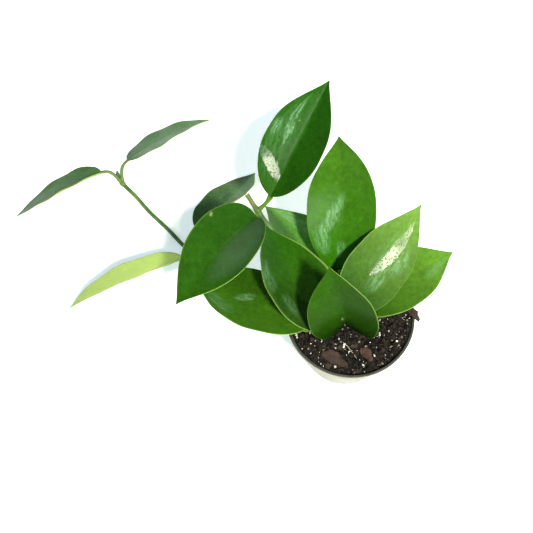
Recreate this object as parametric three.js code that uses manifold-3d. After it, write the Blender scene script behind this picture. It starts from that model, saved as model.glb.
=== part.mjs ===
// A young wax plant (hoya) in a round white nursery pot.
// Three rooted stems share the pot: a leaning stem with a pair of high leaves and a cut end, a short
// stump, and a long runner that crosses the rim and lies along the table to its growing tip.
// Frame: millimetres, +Z up, origin on the table at the middle of the pot's base, +Y away from the front.
import * as THREE from 'three';
import { mergeVertices } from 'three/addons/utils/BufferGeometryUtils.js';
import Module from 'manifold-3d';

const wasm = await Module();
wasm.setup();

// ---------------------------------------------------------------- driving dimensions

const SEAT_GAP = 0.3;

const POT = {
  height: 87,
  baseRadius: 36,
  rimRadius: 51,
  wall: 1.6,
  floor: 2.2,
  lipHeight: 7,
  lipProud: 1.4,
  lipFlare: 0.15,
  edge: 0.7,
  facets: 48,
  drainHoles: 6,
  drainRadius: 4.5,
  drainRing: 33.5,
  drainDepth: 6,
};

const SOIL = {
  level: 83,
  rings: 12,
  middle: 0.4,
  lump: 0.7,
  ripple: 0.4,
  heap: { height: 6, x: 44, y: -6, halfWidth: 9, halfLength: 17 },
  crumbs: 46,
  crumbRing: 46,
  crumbRadius: [2.2, 4.2],
  crumbHeight: [0.8, 2.2],
  seed: 20,
};

const STEM_FACETS = 8;
const STEMS = {
  leaning: { radius: 2.0, steps: 26 },
  stump: { radius: 1.9, steps: 8 },
  runner: { radius: 2.1, steps: 50 },
};
const NODE_SWELLING = 1;

// The growing tip at the runner's end, a bud of two folded leaves.
const BUD = { radius: 1.6, halfLength: 5, lean: -48, at: [-201, 212, 15] };

const LEAF = {
  sections: 13,
  cells: 8,
  middleThickness: 1.6,
  edgeThickness: 0.9,
  widestAt: 0.41,
  bluntness: 0.56,
  tipFullness: 2.5,
  tipTaper: 1.45,
  firstShare: 0.003,
  lastShare: 0.988,
  groove: 0.12,
  ribDepth: 0.8,
};
const PETIOLE = { radius: 1.65, flare: 0.25, offset: 1.2, steps: 6, reach: 0.45, wrap: 0.94 };

// Nodes of the stems, where leaves grow from them.
const LEANING_NODE = [-61, 88, 115];
const LEANING_FOOT = [-2, 24, 91];
const LEANING_SHOULDER = [-5, 26, 94];
const STUMP_NODE = [-13, 2, 96];
const STUMP_FOOT = [-13, 2, 89];
const RUNNER_FOOT = [-22, -4, 92];
const RUNNER_BEND = [-27, -3, 90];
const RUNNER_NODE = [-130, 111, 9];
const RUNNER_END = [-198, 204, 8];
const CUPPED_ROOT = [-5, -4, 70];

const LEANING_PATH = [
  [1, 22, 58], [0, 23, 76], LEANING_FOOT, LEANING_SHOULDER, [-10, 30, 95.5], [-24, 43, 97.3],
  [-40, 59, 101.7], [-48, 68, 105.5], [-54, 76, 110], LEANING_NODE, [-65, 95, 119], [-68, 100, 123],
];
const STUMP_PATH = [[-13, 4, 58], [-13, 3, 78], STUMP_FOOT, STUMP_NODE, [-13, 2, 104]];
const RUNNER_PATH = [
  [-17, -3, 60], [-18, -4, 76], [-20, -4, 88], RUNNER_FOOT, RUNNER_BEND, [-37, 1, 89], [-48, 6, 89.7],
  [-54, 10, 89], [-64, 18, 81], [-84, 42, 52], [-103, 70, 22], [-118, 93, 9], [-130, 111, 7], [-140, 124, 4],
  [-155, 146, 2.4], [-172, 168, 2.4], [-186, 189, 4], RUNNER_END, [-201, 209, 12],
];

// Each leaf: where its petiole leaves the stem and where its blade starts, then the blade's length and
// width, its heading (0 is +X, 90 is +Y), rise and roll at the start, and how far it bends down, swerves
// and twists by the tip, all in degrees. foldBase and foldTip lift both halves from the midrib, and curl
// adds to that lift towards the margins.
const LEAVES = [
  { name: 'leaf_high_back', from: LEANING_NODE, base: [-49, 98, 118], length: 104, width: 58,
    heading: 52, rise: 18, roll: 6, bend: -17, swerve: -1, twist: -3, foldBase: 25, foldTip: 26, curl: 11 },
  { name: 'leaf_high_front', from: LEANING_NODE, base: [-63, 81, 118], length: 105, width: 57,
    heading: -135, rise: 25, roll: -12, bend: 17, swerve: 14, twist: -9, foldBase: 28, foldTip: 9, curl: 26 },
  { name: 'leaf_back_upright', from: LEANING_SHOULDER, base: [-5, 36, 95], length: 111, width: 55,
    heading: 67, rise: 57, roll: 5, bend: 54, swerve: 23, twist: -2, foldBase: 10, foldTip: 7, curl: 11,
    bluntness: 0.68, widestAt: 0.42 },
  { name: 'leaf_back_low', from: LEANING_FOOT, base: [-9, 24, 90], length: 96, width: 52,
    heading: 112, rise: -2, roll: 14, bend: 2, swerve: 13, twist: 10, foldBase: 14, foldTip: 11, curl: 16 },
  { name: 'leaf_right_high', from: STUMP_NODE, base: [-9, -3, 107], length: 106, width: 54,
    heading: 44, rise: -2, roll: 32, bend: -24, swerve: 13, twist: 11, foldBase: 10, foldTip: 14, curl: 9 },
  { name: 'leaf_right_low', from: STUMP_FOOT, base: [2, 1, 91], length: 94, width: 56,
    heading: 24, rise: 4, roll: -7, bend: -4, swerve: -6, twist: -1, foldBase: 15, foldTip: 7, curl: 13 },
  { name: 'leaf_front_cupped', from: CUPPED_ROOT, base: [-5, -7, 86], length: 95, width: 54,
    heading: 80, rise: 108, roll: 5, bend: 48, swerve: 19, twist: -5, foldBase: 37, foldTip: -7, curl: 9,
    bluntness: 0.3, widestAt: 0.38 },
  { name: 'leaf_left_high', from: RUNNER_FOOT, base: [-31, -15, 103], length: 95, width: 63,
    heading: 102, rise: 3, roll: 11, bend: -9, swerve: 11, twist: 33, foldBase: 25, foldTip: -4, curl: 12 },
  { name: 'leaf_left_low', from: RUNNER_BEND, base: [-37, -10, 95], length: 106, width: 58,
    heading: 141, rise: -7, roll: 13, bend: -3, swerve: 6, twist: 0, foldBase: 16, foldTip: 5, curl: 12 },
  { name: 'leaf_runner_back', from: RUNNER_NODE, base: [-121, 129, 22], length: 97, width: 54,
    heading: 47, rise: -12, roll: -40, bend: -1, swerve: 2, twist: 16, foldBase: 20, foldTip: 3, curl: 13 },
  { name: 'leaf_runner_front', from: RUNNER_NODE, base: [-137, 99, 26], length: 119, width: 54,
    heading: -168, rise: 4, roll: 82, bend: 10, swerve: -15, twist: -7, foldBase: 10, foldTip: 8, curl: 9 },
  { name: 'leaf_end_left', from: RUNNER_END, base: [-217, 213, 20], length: 100, width: 54,
    heading: -170, rise: -9, roll: 34, bend: 6, swerve: 20, twist: 4, foldBase: 16, foldTip: 2, curl: 9 },
  { name: 'leaf_end_right', from: RUNNER_END, base: [-189, 225, 18], length: 102, width: 55,
    heading: 37, rise: -5, roll: -34, bend: 10, swerve: -24, twist: -5, foldBase: 1, foldTip: 13, curl: 4 },
];

// Bark chips bedded in the soil: outline length and width, thickness, place, turn about Z and tilt.
const CHIP_BEVEL = 0.4;
const CHIPS = [
  { name: 'bark_chip_large', length: 23, width: 10, depth: 3, at: [-17, -33, 83.2], turn: -38, tilt: 8 },
  { name: 'bark_chip_edge', length: 9, width: 4.4, depth: 2.4, at: [-21.9, -39.2, 82], turn: -38, tilt: -6 },
  { name: 'bark_chip_red', length: 13, width: 8, depth: 3, at: [8, -33, 83.2], turn: -62, tilt: 12 },
  { name: 'bark_chip_rim', length: 14, width: 6, depth: 2.6, at: [49.4, -8, 89.6], turn: -64, tilt: 10 },
];

const COLOURS = {
  pot: { color: 0xe9e8d6, roughness: 0.45, metalness: 0 },
  soil: { color: 0x2a211b, roughness: 0.95, metalness: 0 },
  bark: { color: 0x5b4238, roughness: 0.9, metalness: 0 },
  stem: { color: 0x6f8f4a, roughness: 0.55, metalness: 0 },
  leaf: { color: 0x3f7a24, roughness: 0.35, metalness: 0 },
};

// ---------------------------------------------------------------- solids

// Edges shorter than this, which cuts leave behind, are closed up.
const FINEST = 0.01;

const radians = THREE.MathUtils.degToRad;
const vector = ([x, y, z]) => new THREE.Vector3(x, y, z);

function solidFrom(geometry) {
  const bare = geometry.index ? geometry : geometry.clone();
  bare.deleteAttribute('normal');
  bare.deleteAttribute('uv');
  const merged = mergeVertices(bare, 1e-4);
  const mesh = new wasm.Mesh({
    numProp: 3,
    vertProperties: new Float32Array(merged.attributes.position.array),
    triVerts: new Uint32Array(merged.index.array),
  });
  return new wasm.Manifold(mesh);
}

// The same solid with its shortest edges closed up: both ends of such an edge become one point, and the
// two slivers beside it go.
function tidied(solid) {
  const { vertProperties, triVerts } = solid.simplify(FINEST).getMesh();
  const point = (k) => new THREE.Vector3().fromArray(vertProperties, 3 * k);
  const joined = Array.from({ length: vertProperties.length / 3 }, (_, k) => k);
  const keptOf = (k) => (joined[k] === k ? k : keptOf(joined[k]));
  const faces = [];
  for (let k = 0; k < triVerts.length; k += 3) {
    faces.push([...triVerts.slice(k, k + 3)]);
  }
  for (const [a, b, c] of faces) {
    for (const [one, other] of [[a, b], [b, c], [c, a]]) {
      const [p, q] = [keptOf(one), keptOf(other)].sort((m, n) => m - n);
      if (p !== q && point(p).distanceTo(point(q)) < FINEST) {
        joined[q] = p;
      }
    }
  }
  const whole = faces.map((face) => face.map(keptOf)).filter((face) => new Set(face).size === 3);
  const mesh = new wasm.Mesh({ numProp: 3, vertProperties, triVerts: new Uint32Array(whole.flat()) });
  return new wasm.Manifold(mesh);
}

function geometryFrom(solid) {
  const mesh = tidied(solid).getMesh();
  const geometry = new THREE.BufferGeometry();
  geometry.setAttribute('position', new THREE.BufferAttribute(mesh.vertProperties, 3));
  geometry.setIndex(new THREE.BufferAttribute(mesh.triVerts, 1));
  return geometry;
}

function meshOf(name, solid, finish) {
  const mesh = new THREE.Mesh(geometryFrom(solid), new THREE.MeshStandardMaterial(finish));
  mesh.name = name;
  return mesh;
}

// A closed skin through a list of loops with equally many points, ended by a flat fan at each end.
function loft(loops) {
  const count = loops[0].length;
  const positions = loops.flat().flatMap((p) => [p.x, p.y, p.z]);
  const index = [];
  for (let row = 0; row < loops.length - 1; row += 1) {
    for (let k = 0; k < count; k += 1) {
      const a = row * count + k;
      const b = row * count + ((k + 1) % count);
      index.push(a, b, b + count, a, b + count, a + count);
    }
  }
  const last = (loops.length - 1) * count;
  for (let k = 1; k < count - 1; k += 1) {
    index.push(0, k + 1, k);
    index.push(last, last + k, last + k + 1);
  }
  const geometry = new THREE.BufferGeometry();
  geometry.setAttribute('position', new THREE.Float32BufferAttribute(positions, 3));
  geometry.setIndex(index);
  return geometry;
}

// A round rod along a path, with closed ends.
function rod(points, radius, facets, steps) {
  const section = new THREE.Shape(Array.from({ length: facets }, (_, k) => {
    const angle = (2 * Math.PI * k) / facets;
    return new THREE.Vector2(radius * Math.cos(angle), radius * Math.sin(angle));
  }));
  const extrudePath = new THREE.CatmullRomCurve3(points.map(vector), false, 'centripetal');
  return solidFrom(new THREE.ExtrudeGeometry(section, { steps, bevelEnabled: false, extrudePath }));
}

function bead(center, radius) {
  const ball = new THREE.SphereGeometry(radius, 10, 6);
  ball.translate(...center);
  return solidFrom(ball);
}

// ---------------------------------------------------------------- pot

function pot() {
  const { height, baseRadius, rimRadius, floor, lipHeight, lipProud, edge } = POT;
  const neck = height - lipHeight;
  const neckRadius = rimRadius - lipProud;
  const profile = [
    [0, 0], [baseRadius - edge, 0], [baseRadius, edge], [neckRadius, neck],
    [rimRadius - edge / 2, neck + edge], [rimRadius, height - edge], [rimRadius - edge, height],
    [rimRadius - 2 * edge, height], [innerRadius(height - edge), height - edge],
    [innerRadius(neck), neck], [innerRadius(floor), floor], [0, floor],
  ].map(([radius, z]) => new THREE.Vector2(radius, z));
  const shell = new THREE.LatheGeometry(profile, POT.facets);
  shell.rotateX(Math.PI / 2);
  let body = solidFrom(shell);
  for (let k = 0; k < POT.drainHoles; k += 1) {
    const angle = (2 * Math.PI * (k + 0.5)) / POT.drainHoles;
    const drill = new THREE.CylinderGeometry(POT.drainRadius, POT.drainRadius, 2 * POT.drainDepth, 16);
    drill.rotateX(Math.PI / 2);
    drill.translate(POT.drainRing * Math.cos(angle), POT.drainRing * Math.sin(angle), 0);
    body = body.subtract(solidFrom(drill));
  }
  return body;
}

// Radius of the pot's inner wall at a height.
function innerRadius(z) {
  const neck = POT.height - POT.lipHeight;
  const neckRadius = POT.rimRadius - POT.lipProud - POT.wall;
  if (z > neck) {
    return neckRadius + POT.lipFlare * (z - neck);
  }
  return THREE.MathUtils.mapLinear(z, 0, neck, POT.baseRadius - POT.wall, neckRadius);
}

// ---------------------------------------------------------------- soil

function seededRandom(seed) {
  let state = seed;
  return () => {
    state = (state * 1664525 + 1013904223) % 4294967296;
    return state / 4294967296;
  };
}

// Crumbs of perlite and bark: round bumps scattered over the surface.
const random = seededRandom(SOIL.seed);
const crumbs = Array.from({ length: SOIL.crumbs }, () => {
  const ring = SOIL.crumbRing * Math.sqrt(random());
  const angle = 2 * Math.PI * random();
  return {
    x: ring * Math.cos(angle),
    y: ring * Math.sin(angle),
    radius: THREE.MathUtils.lerp(...SOIL.crumbRadius, random()),
    height: THREE.MathUtils.lerp(...SOIL.crumbHeight, random()),
  };
});

// Soil surface: a gently lumpy bed, heaped against the right-hand rim, with crumbs standing out of it.
function soilHeight(x, y) {
  const lumps = SOIL.lump * Math.sin(0.31 * x + 1.1) * Math.cos(0.27 * y - 0.4);
  const ripples = SOIL.ripple * Math.sin(0.6 * x - 0.5 * y);
  const heapX = (x - SOIL.heap.x) / SOIL.heap.halfWidth;
  const heapY = (y - SOIL.heap.y) / SOIL.heap.halfLength;
  const heap = SOIL.heap.height * Math.exp(-(heapX ** 2) - heapY ** 2);
  let bumps = 0;
  for (const crumb of crumbs) {
    const away = ((x - crumb.x) ** 2 + (y - crumb.y) ** 2) / crumb.radius ** 2;
    bumps = Math.max(bumps, crumb.height * Math.exp(-away));
  }
  return SOIL.level + lumps + ripples + heap + bumps;
}

function soilBody() {
  const circle = (radius, height) => Array.from({ length: POT.facets }, (_, k) => {
    const angle = (2 * Math.PI * k) / POT.facets;
    const x = radius * Math.sin(angle);
    const y = -radius * Math.cos(angle);
    return new THREE.Vector3(x, y, height ?? soilHeight(x, y));
  });
  const neck = POT.height - POT.lipHeight;
  const underside = POT.floor + SEAT_GAP;
  const rim = innerRadius(SOIL.level) - SEAT_GAP;
  const loops = [
    circle(innerRadius(underside) - SEAT_GAP, underside),
    circle(innerRadius(neck) - SEAT_GAP, neck),
  ];
  for (let ring = SOIL.rings; ring > 0; ring -= 1) {
    loops.push(circle((rim * ring) / SOIL.rings));
  }
  loops.push(circle(SOIL.middle));
  return solidFrom(loft(loops));
}

// ---------------------------------------------------------------- leaves

// Half-width of a blade from base (0) to tip (1), as a share of its greatest half-width: blunt at the
// base and drawn out to a point at the tip.
function outline(u, widestAt, bluntness) {
  if (u < widestAt) {
    return (1 - ((widestAt - u) / widestAt) ** 2) ** bluntness;
  }
  return (1 - ((u - widestAt) / (1 - widestAt)) ** LEAF.tipFullness) ** LEAF.tipTaper;
}

// Axes of a blade at its start: along the midrib, across it, and out of the upper face.
function startAxes({ heading, rise, roll }) {
  const [turn, lift, lean] = [heading, rise, roll].map(radians);
  const along = new THREE.Vector3(
    Math.cos(lift) * Math.cos(turn), Math.cos(lift) * Math.sin(turn), Math.sin(lift));
  const level = new THREE.Vector3(-Math.sin(turn), Math.cos(turn), 0);
  const upper = new THREE.Vector3().crossVectors(along, level);
  return {
    along,
    across: level.clone().multiplyScalar(Math.cos(lean)).addScaledVector(upper, Math.sin(lean)),
    up: level.clone().multiplyScalar(-Math.sin(lean)).addScaledVector(upper, Math.cos(lean)),
  };
}

// Axes at the share u of the length, after the swerve, the bend and the twist up to there.
function axesAt(leaf, u) {
  const { along, across, up } = startAxes(leaf);
  const [swerve, bend, twist] = [leaf.swerve, leaf.bend, leaf.twist].map((angle) => radians(angle) * u);
  const mix = (p, a, q, b) => p.clone().multiplyScalar(a).addScaledVector(q, b);
  const level = mix(along, Math.cos(swerve), across, Math.sin(swerve));
  const side = mix(along, -Math.sin(swerve), across, Math.cos(swerve));
  const upper = mix(level, Math.sin(bend), up, Math.cos(bend));
  return {
    along: mix(level, Math.cos(bend), up, -Math.sin(bend)),
    across: mix(side, Math.cos(twist), upper, Math.sin(twist)),
    up: mix(side, -Math.sin(twist), upper, Math.cos(twist)),
  };
}

// Stations along a midrib, closer together towards both ends.
function midribStations(leaf) {
  const stations = [];
  const point = vector(leaf.base);
  let previous = 0;
  for (let k = 0; k <= LEAF.sections; k += 1) {
    const share = (1 - Math.cos((Math.PI * k) / LEAF.sections)) / 2;
    const u = THREE.MathUtils.lerp(LEAF.firstShare, LEAF.lastShare, share);
    point.addScaledVector(axesAt(leaf, (u + previous) / 2).along, (u - previous) * leaf.length);
    stations.push({ u, point: point.clone(), ...axesAt(leaf, u) });
    previous = u;
  }
  return stations;
}

// Positions across a blade, from one margin (-1) to the other (1).
const ACROSS = Array.from({ length: LEAF.cells + 1 }, (_, k) => (2 * k) / LEAF.cells - 1);

// A loop seen from the tip: over the upper face, then back along the lower one.
const loopOf = (place) => [...ACROSS.map((v) => place(-v, 1)), ...ACROSS.map((v) => place(v, -1))];

// One closed loop round the blade, thickest at the midrib, with the rib standing out below.
function bladeSection(leaf, { u, point, across, up }) {
  const { widestAt, bluntness } = { ...LEAF, ...leaf };
  const half = (leaf.width / 2) * outline(u, widestAt, bluntness);
  const fold = THREE.MathUtils.lerp(leaf.foldBase, leaf.foldTip, u);
  return loopOf((v, side) => {
    const slope = radians(fold + (leaf.curl * Math.abs(v)) / 2);
    const steep = radians(fold + leaf.curl * Math.abs(v)) * Math.sign(v);
    const lift = half * (Math.hypot(v, LEAF.groove) - LEAF.groove) * Math.sin(slope);
    const body = (1 - v * v) * (1 - u * u);
    const thickness = THREE.MathUtils.lerp(LEAF.edgeThickness, LEAF.middleThickness, body);
    const rib = v === 0 && side < 0 ? LEAF.ribDepth * (1 - u) ** 2 : 0;
    const offset = (side * thickness) / 2 - rib;
    return point.clone()
      .addScaledVector(across, half * v * Math.cos(slope) - offset * Math.sin(steep))
      .addScaledVector(up, lift + offset * Math.cos(steep));
  });
}

// Loops of the leaf stalk, which leaves the stem and turns smoothly into the blade's midrib.
function petioleSections(leaf, extra, count) {
  const base = vector(leaf.base);
  const node = vector(leaf.from);
  const start = node.clone().addScaledVector(base.clone().sub(node).normalize(), PETIOLE.offset);
  const { along, across } = startAxes(leaf);
  const approach = base.clone().addScaledVector(along, -PETIOLE.reach * start.distanceTo(base));
  const path = new THREE.CubicBezierCurve3(start, start.clone().lerp(approach, 0.5), approach, base);
  const shares = Array.from({ length: count }, (_, k) => k / PETIOLE.steps);
  const sections = [];
  let side = across;
  for (const share of shares.reverse()) {
    const tangent = path.getTangentAt(share);
    side = side.clone().addScaledVector(tangent, -side.dot(tangent)).normalize();
    const up = new THREE.Vector3().crossVectors(tangent, side);
    const center = path.getPointAt(share);
    const radius = PETIOLE.radius * (1 + PETIOLE.flare * (1 - share) ** 4) + extra;
    const rim = side;
    sections.unshift(loopOf((v, face) => {
      const angle = (face * Math.PI * (1 - PETIOLE.wrap * v)) / 2;
      return center.clone()
        .addScaledVector(rim, radius * Math.cos(angle))
        .addScaledVector(up, radius * Math.sin(angle));
    }));
  }
  return sections;
}

function leafBody(leaf) {
  const stations = midribStations(leaf);
  const blade = stations.map((station) => bladeSection(leaf, station));
  const body = solidFrom(loft([...petioleSections(leaf, 0, PETIOLE.steps), ...blade]));
  const stem = gappedStemAt(leaf.from);
  return stem ? body.subtract(stem) : body;
}

// ---------------------------------------------------------------- stems

function leaningStem(extra) {
  const { radius, steps } = STEMS.leaning;
  return rod(LEANING_PATH, radius + extra, STEM_FACETS, steps)
    .add(bead(LEANING_NODE, radius + NODE_SWELLING + extra))
    .add(bead(LEANING_FOOT, radius + NODE_SWELLING + extra));
}

function stump(extra) {
  const { radius, steps } = STEMS.stump;
  return rod(STUMP_PATH, radius + extra, STEM_FACETS, steps)
    .add(bead(STUMP_NODE, radius + NODE_SWELLING + extra));
}

function tipBud(extra) {
  const bud = new THREE.SphereGeometry(1, 8, 6);
  bud.scale(BUD.radius + extra, BUD.radius + extra, BUD.halfLength + extra);
  bud.rotateX(radians(BUD.lean));
  bud.translate(...BUD.at);
  return solidFrom(bud);
}

function runner(extra) {
  const { radius, steps } = STEMS.runner;
  return rod(RUNNER_PATH, radius + extra, STEM_FACETS, steps)
    .add(bead(RUNNER_NODE, radius + NODE_SWELLING + extra))
    .add(bead(RUNNER_END, radius + NODE_SWELLING + extra))
    .add(bead(RUNNER_FOOT, radius + NODE_SWELLING + extra))
    .add(tipBud(extra));
}

// Each stem with the seat gap added, and the nodes that leaves grow from on it.
const gapped = [
  { solid: leaningStem(SEAT_GAP), nodes: [LEANING_NODE, LEANING_FOOT, LEANING_SHOULDER] },
  { solid: stump(SEAT_GAP), nodes: [STUMP_NODE, STUMP_FOOT] },
  { solid: runner(SEAT_GAP), nodes: [RUNNER_FOOT, RUNNER_BEND, RUNNER_NODE, RUNNER_END] },
];

function gappedStemAt(node) {
  return gapped.find(({ nodes }) => nodes.includes(node))?.solid;
}

// ---------------------------------------------------------------- bark chips

function chip({ length, width, depth, at, turn, tilt }, extra) {
  const outlinePoints = [
    [-0.5, -0.1], [-0.38, -0.42], [-0.08, -0.5], [0.22, -0.34], [0.5, -0.22],
    [0.44, 0.12], [0.2, 0.24], [0.02, 0.5], [-0.3, 0.38],
  ].map(([x, y]) => new THREE.Vector2(x * (length + 2 * extra), y * (width + 2 * extra)));
  const core = depth + 2 * extra - 2 * CHIP_BEVEL;
  const slab = new THREE.ExtrudeGeometry(new THREE.Shape(outlinePoints), {
    depth: core,
    bevelEnabled: true,
    bevelThickness: CHIP_BEVEL,
    bevelSize: CHIP_BEVEL,
    bevelSegments: 1,
  });
  slab.translate(0, 0, -core / 2);
  slab.rotateX(radians(tilt));
  slab.rotateZ(radians(turn));
  slab.translate(...at);
  return solidFrom(slab);
}

// ---------------------------------------------------------------- assembly

const plant = new THREE.Group();
plant.name = 'potted_wax_plant';

plant.add(meshOf('pot', pot(), COLOURS.pot));

let soil = soilBody();
for (const { solid } of gapped) {
  soil = soil.subtract(solid);
}
for (const piece of CHIPS) {
  soil = soil.subtract(chip(piece, SEAT_GAP));
  plant.add(meshOf(piece.name, chip(piece, 0), COLOURS.bark));
}
const cupped = LEAVES.find((leaf) => leaf.name === 'leaf_front_cupped');
soil = soil.subtract(solidFrom(loft(petioleSections(cupped, SEAT_GAP, PETIOLE.steps + 1))));
soil = soil.subtract(bead(CUPPED_ROOT, 1.5 * PETIOLE.radius));
plant.add(meshOf('soil', soil, COLOURS.soil));

plant.add(meshOf('stem_leaning', leaningStem(0), COLOURS.stem));
plant.add(meshOf('stem_stump', stump(0), COLOURS.stem));
plant.add(meshOf('stem_runner', runner(0), COLOURS.stem));

for (const leaf of LEAVES) {
  plant.add(meshOf(leaf.name, leafBody(leaf), COLOURS.leaf));
}

export default plant;
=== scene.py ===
# %% [markdown]
# # A young wax plant in a white nursery pot
# A wax plant (hoya) grows thick, glossy, pointed leaves in pairs on a smooth green vine. This one has
# three stems in a small round pot. One of them, the runner, has crossed the rim and lies on the table.
# The lesson dresses a finished set of plain solids. Each solid is a fixed frame that says where its
# piece is, and each new piece is a finer surface of the same form, worked out with numpy and placed in
# the same coordinates. The first cell loads that frame.

# %% Load the fixed frame
import math

import bpy
import numpy as np
from mathutils import Matrix, Vector


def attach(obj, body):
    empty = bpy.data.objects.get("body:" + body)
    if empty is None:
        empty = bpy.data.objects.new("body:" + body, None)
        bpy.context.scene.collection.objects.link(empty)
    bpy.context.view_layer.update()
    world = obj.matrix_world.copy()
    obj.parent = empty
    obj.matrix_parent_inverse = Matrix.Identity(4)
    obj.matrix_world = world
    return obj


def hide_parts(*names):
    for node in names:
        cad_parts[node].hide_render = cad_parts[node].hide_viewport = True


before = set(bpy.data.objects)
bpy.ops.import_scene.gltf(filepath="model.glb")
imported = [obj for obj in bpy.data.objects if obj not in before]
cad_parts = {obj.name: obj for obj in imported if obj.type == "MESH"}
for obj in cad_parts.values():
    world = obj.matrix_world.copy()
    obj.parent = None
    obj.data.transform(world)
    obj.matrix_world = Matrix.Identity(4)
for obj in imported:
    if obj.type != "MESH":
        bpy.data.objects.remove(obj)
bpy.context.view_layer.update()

MM = 0.001

# %% [markdown]
# ## Camera
# The plant is seen from above, leaning a little towards its front, and the picture is turned slightly.
# A camera could be aimed by hand, but its position here follows from four numbers: how far it tilts
# from straight down, how far it rolls, what point of the table it aims at, and how far away it is.
# The lens follows from the focal length in pixels of a picture that is 533 pixels wide.

# %% Camera
PICTURE_WIDTH = 533
FOCAL_PIXELS = 600
SENSOR_WIDTH = 36.0
CAMERA_TILT = math.radians(24.4)
CAMERA_ROLL = math.radians(-7.8)
CAMERA_AIM = Vector((-60, 90, 0)) * MM
CAMERA_DISTANCE = 591 * MM


def camera_axes():
    """Right, up and forward of the camera. Forward leans from straight down by the tilt, towards the
    back of the table, and the other two turn about it by the roll."""
    forward = Vector((0, math.sin(CAMERA_TILT), -math.cos(CAMERA_TILT)))
    level = Vector((1, 0, 0))
    above = level.cross(forward)
    right = math.cos(CAMERA_ROLL) * level + math.sin(CAMERA_ROLL) * above
    return right, right.cross(forward), forward


right, above, forward = camera_axes()
camera = bpy.data.objects.new("camera", bpy.data.cameras.new("camera"))
camera.data.sensor_width = SENSOR_WIDTH
camera.data.lens = SENSOR_WIDTH * FOCAL_PIXELS / PICTURE_WIDTH
placed = Matrix((right, above, -forward)).transposed().to_4x4()
placed.translation = CAMERA_AIM - CAMERA_DISTANCE * forward
camera.matrix_world = placed
bpy.context.scene.collection.objects.link(camera)
bpy.context.scene.camera = camera
print("camera at", [round(x, 3) for x in placed.translation], "lens", round(camera.data.lens, 1), "mm")

# %% [markdown]
# ## Surfaces from arrays
# Nearly every piece here is a tube of some kind: a vine, a leaf with its stalk, the pot, even the soil.
# Such a piece is a stack of rings with equally many points. One helper joins the rings with quads and
# closes both ends with a pole, so that the surface is watertight. It also turns the faces outwards,
# which it tests with the volume that they enclose. Each point can carry three numbers of its own, its
# place on the piece, which a material reads later.

# %% Helpers that make a mesh from rings
def enclosed_volume(vertices, triangles):
    """Six times the volume inside triangles, negative if they face inwards: the sum of a·(b × c)."""
    a, b, c = (vertices[triangles[:, k]] for k in range(3))
    return np.einsum("ij,ij->", a, np.cross(b, c))


def piece_from(name, vertices, faces, places=None, smooth=True):
    """An object from vertices in millimetres, faces as arrays of corner numbers, and one place for each
    vertex. Faces that turn out to point inwards are reversed."""
    triangles = np.vstack([part[:, [0, k, k + 1]] for part in faces for k in range(1, part.shape[1] - 1)])
    if enclosed_volume(vertices, triangles) < 0:
        faces = [part[:, ::-1] for part in faces]
    mesh = bpy.data.meshes.new(name)
    mesh.from_pydata(vertices * MM, [], [face for part in faces for face in part.tolist()])
    mesh.polygons.foreach_set("use_smooth", np.full(len(mesh.polygons), smooth))
    if places is not None:
        attribute = mesh.attributes.new("place", "FLOAT_VECTOR", "POINT")
        attribute.data.foreach_set("vector", np.asarray(places, np.float32).ravel())
    piece = bpy.data.objects.new(name, mesh)
    bpy.context.scene.collection.objects.link(piece)
    return piece


def skin(name, rings, places=None):
    """A closed surface through rings, an array of (rings, points, 3). Quads join neighbouring rings, and
    a fan of triangles joins each end ring to a pole at its middle."""
    rows, columns = rings.shape[:2]
    number = np.arange(rows * columns).reshape(rows, columns)
    following = np.roll(number, -1, axis=1)
    quads = np.stack([number[:-1], following[:-1], following[1:], number[1:]], axis=-1).reshape(-1, 4)
    pole = np.full(columns, rows * columns)
    fans = [np.stack([pole, following[0], number[0]], axis=-1),
            np.stack([pole + 1, number[-1], following[-1]], axis=-1)]

    def with_poles(values):
        return np.vstack([values.reshape(-1, 3), values[0].mean(axis=0), values[-1].mean(axis=0)])

    if places is not None:
        places = with_poles(places)
    return piece_from(name, with_poles(rings), [quads, *fans], places)


def dress(piece, material, slot, *nodes):
    """Gives a piece its material and lets it stand for the solids that it refines. The slot is not used."""
    piece.data.materials.append(material)
    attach(piece, "root")
    if nodes:
        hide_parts(*nodes)


# %% Small helpers for shapes
def around(count):
    """Angles evenly spaced round a circle."""
    return 2 * math.pi * np.arange(count) / count


def stacked(*parts):
    """Arrays spread to one shape and joined as a last axis, such as x, y and z into points."""
    return np.stack(np.broadcast_arrays(*parts), axis=-1)


def tilted(angle):
    """The matrix of a turn about the X axis."""
    c, s = math.cos(angle), math.sin(angle)
    return np.array([[1, 0, 0], [0, c, -s], [0, s, c]])


def spun(angle):
    """The matrix of a turn about the Z axis."""
    c, s = math.cos(angle), math.sin(angle)
    return np.array([[c, -s, 0], [s, c, 0], [0, 0, 1]])


def eased(share):
    """A share from 0 to 1 that starts and ends gently: 3s² - 2s³."""
    share = np.clip(share, 0, 1)
    return share * share * (3 - 2 * share)


HASH_STEPS = (127.1, 311.7, 74.7)
HASH_SCALE = 43758.5453


def patchy(x, y, cell, seed=0):
    """Smooth noise from -1 to 1 over a plane: random numbers at the corners of square cells, eased in
    between. Each number is a hash of its corner's place, so a point always gets the same value."""
    column, row = np.floor(x / cell), np.floor(y / cell)
    right_share, far_share = eased(x / cell - column), eased(y / cell - row)

    def corner(i, j):
        wave = np.sin(i * HASH_STEPS[0] + j * HASH_STEPS[1] + seed * HASH_STEPS[2]) * HASH_SCALE
        return 2 * (wave - np.floor(wave)) - 1

    near = corner(column, row) * (1 - right_share) + corner(column + 1, row) * right_share
    far = corner(column, row + 1) * (1 - right_share) + corner(column + 1, row + 1) * right_share
    return near * (1 - far_share) + far * far_share


print("patchy noise at three places:", np.round(patchy(np.array([0.2, 3.1, 7.7]), 1.5, 2.0), 2))

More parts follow.
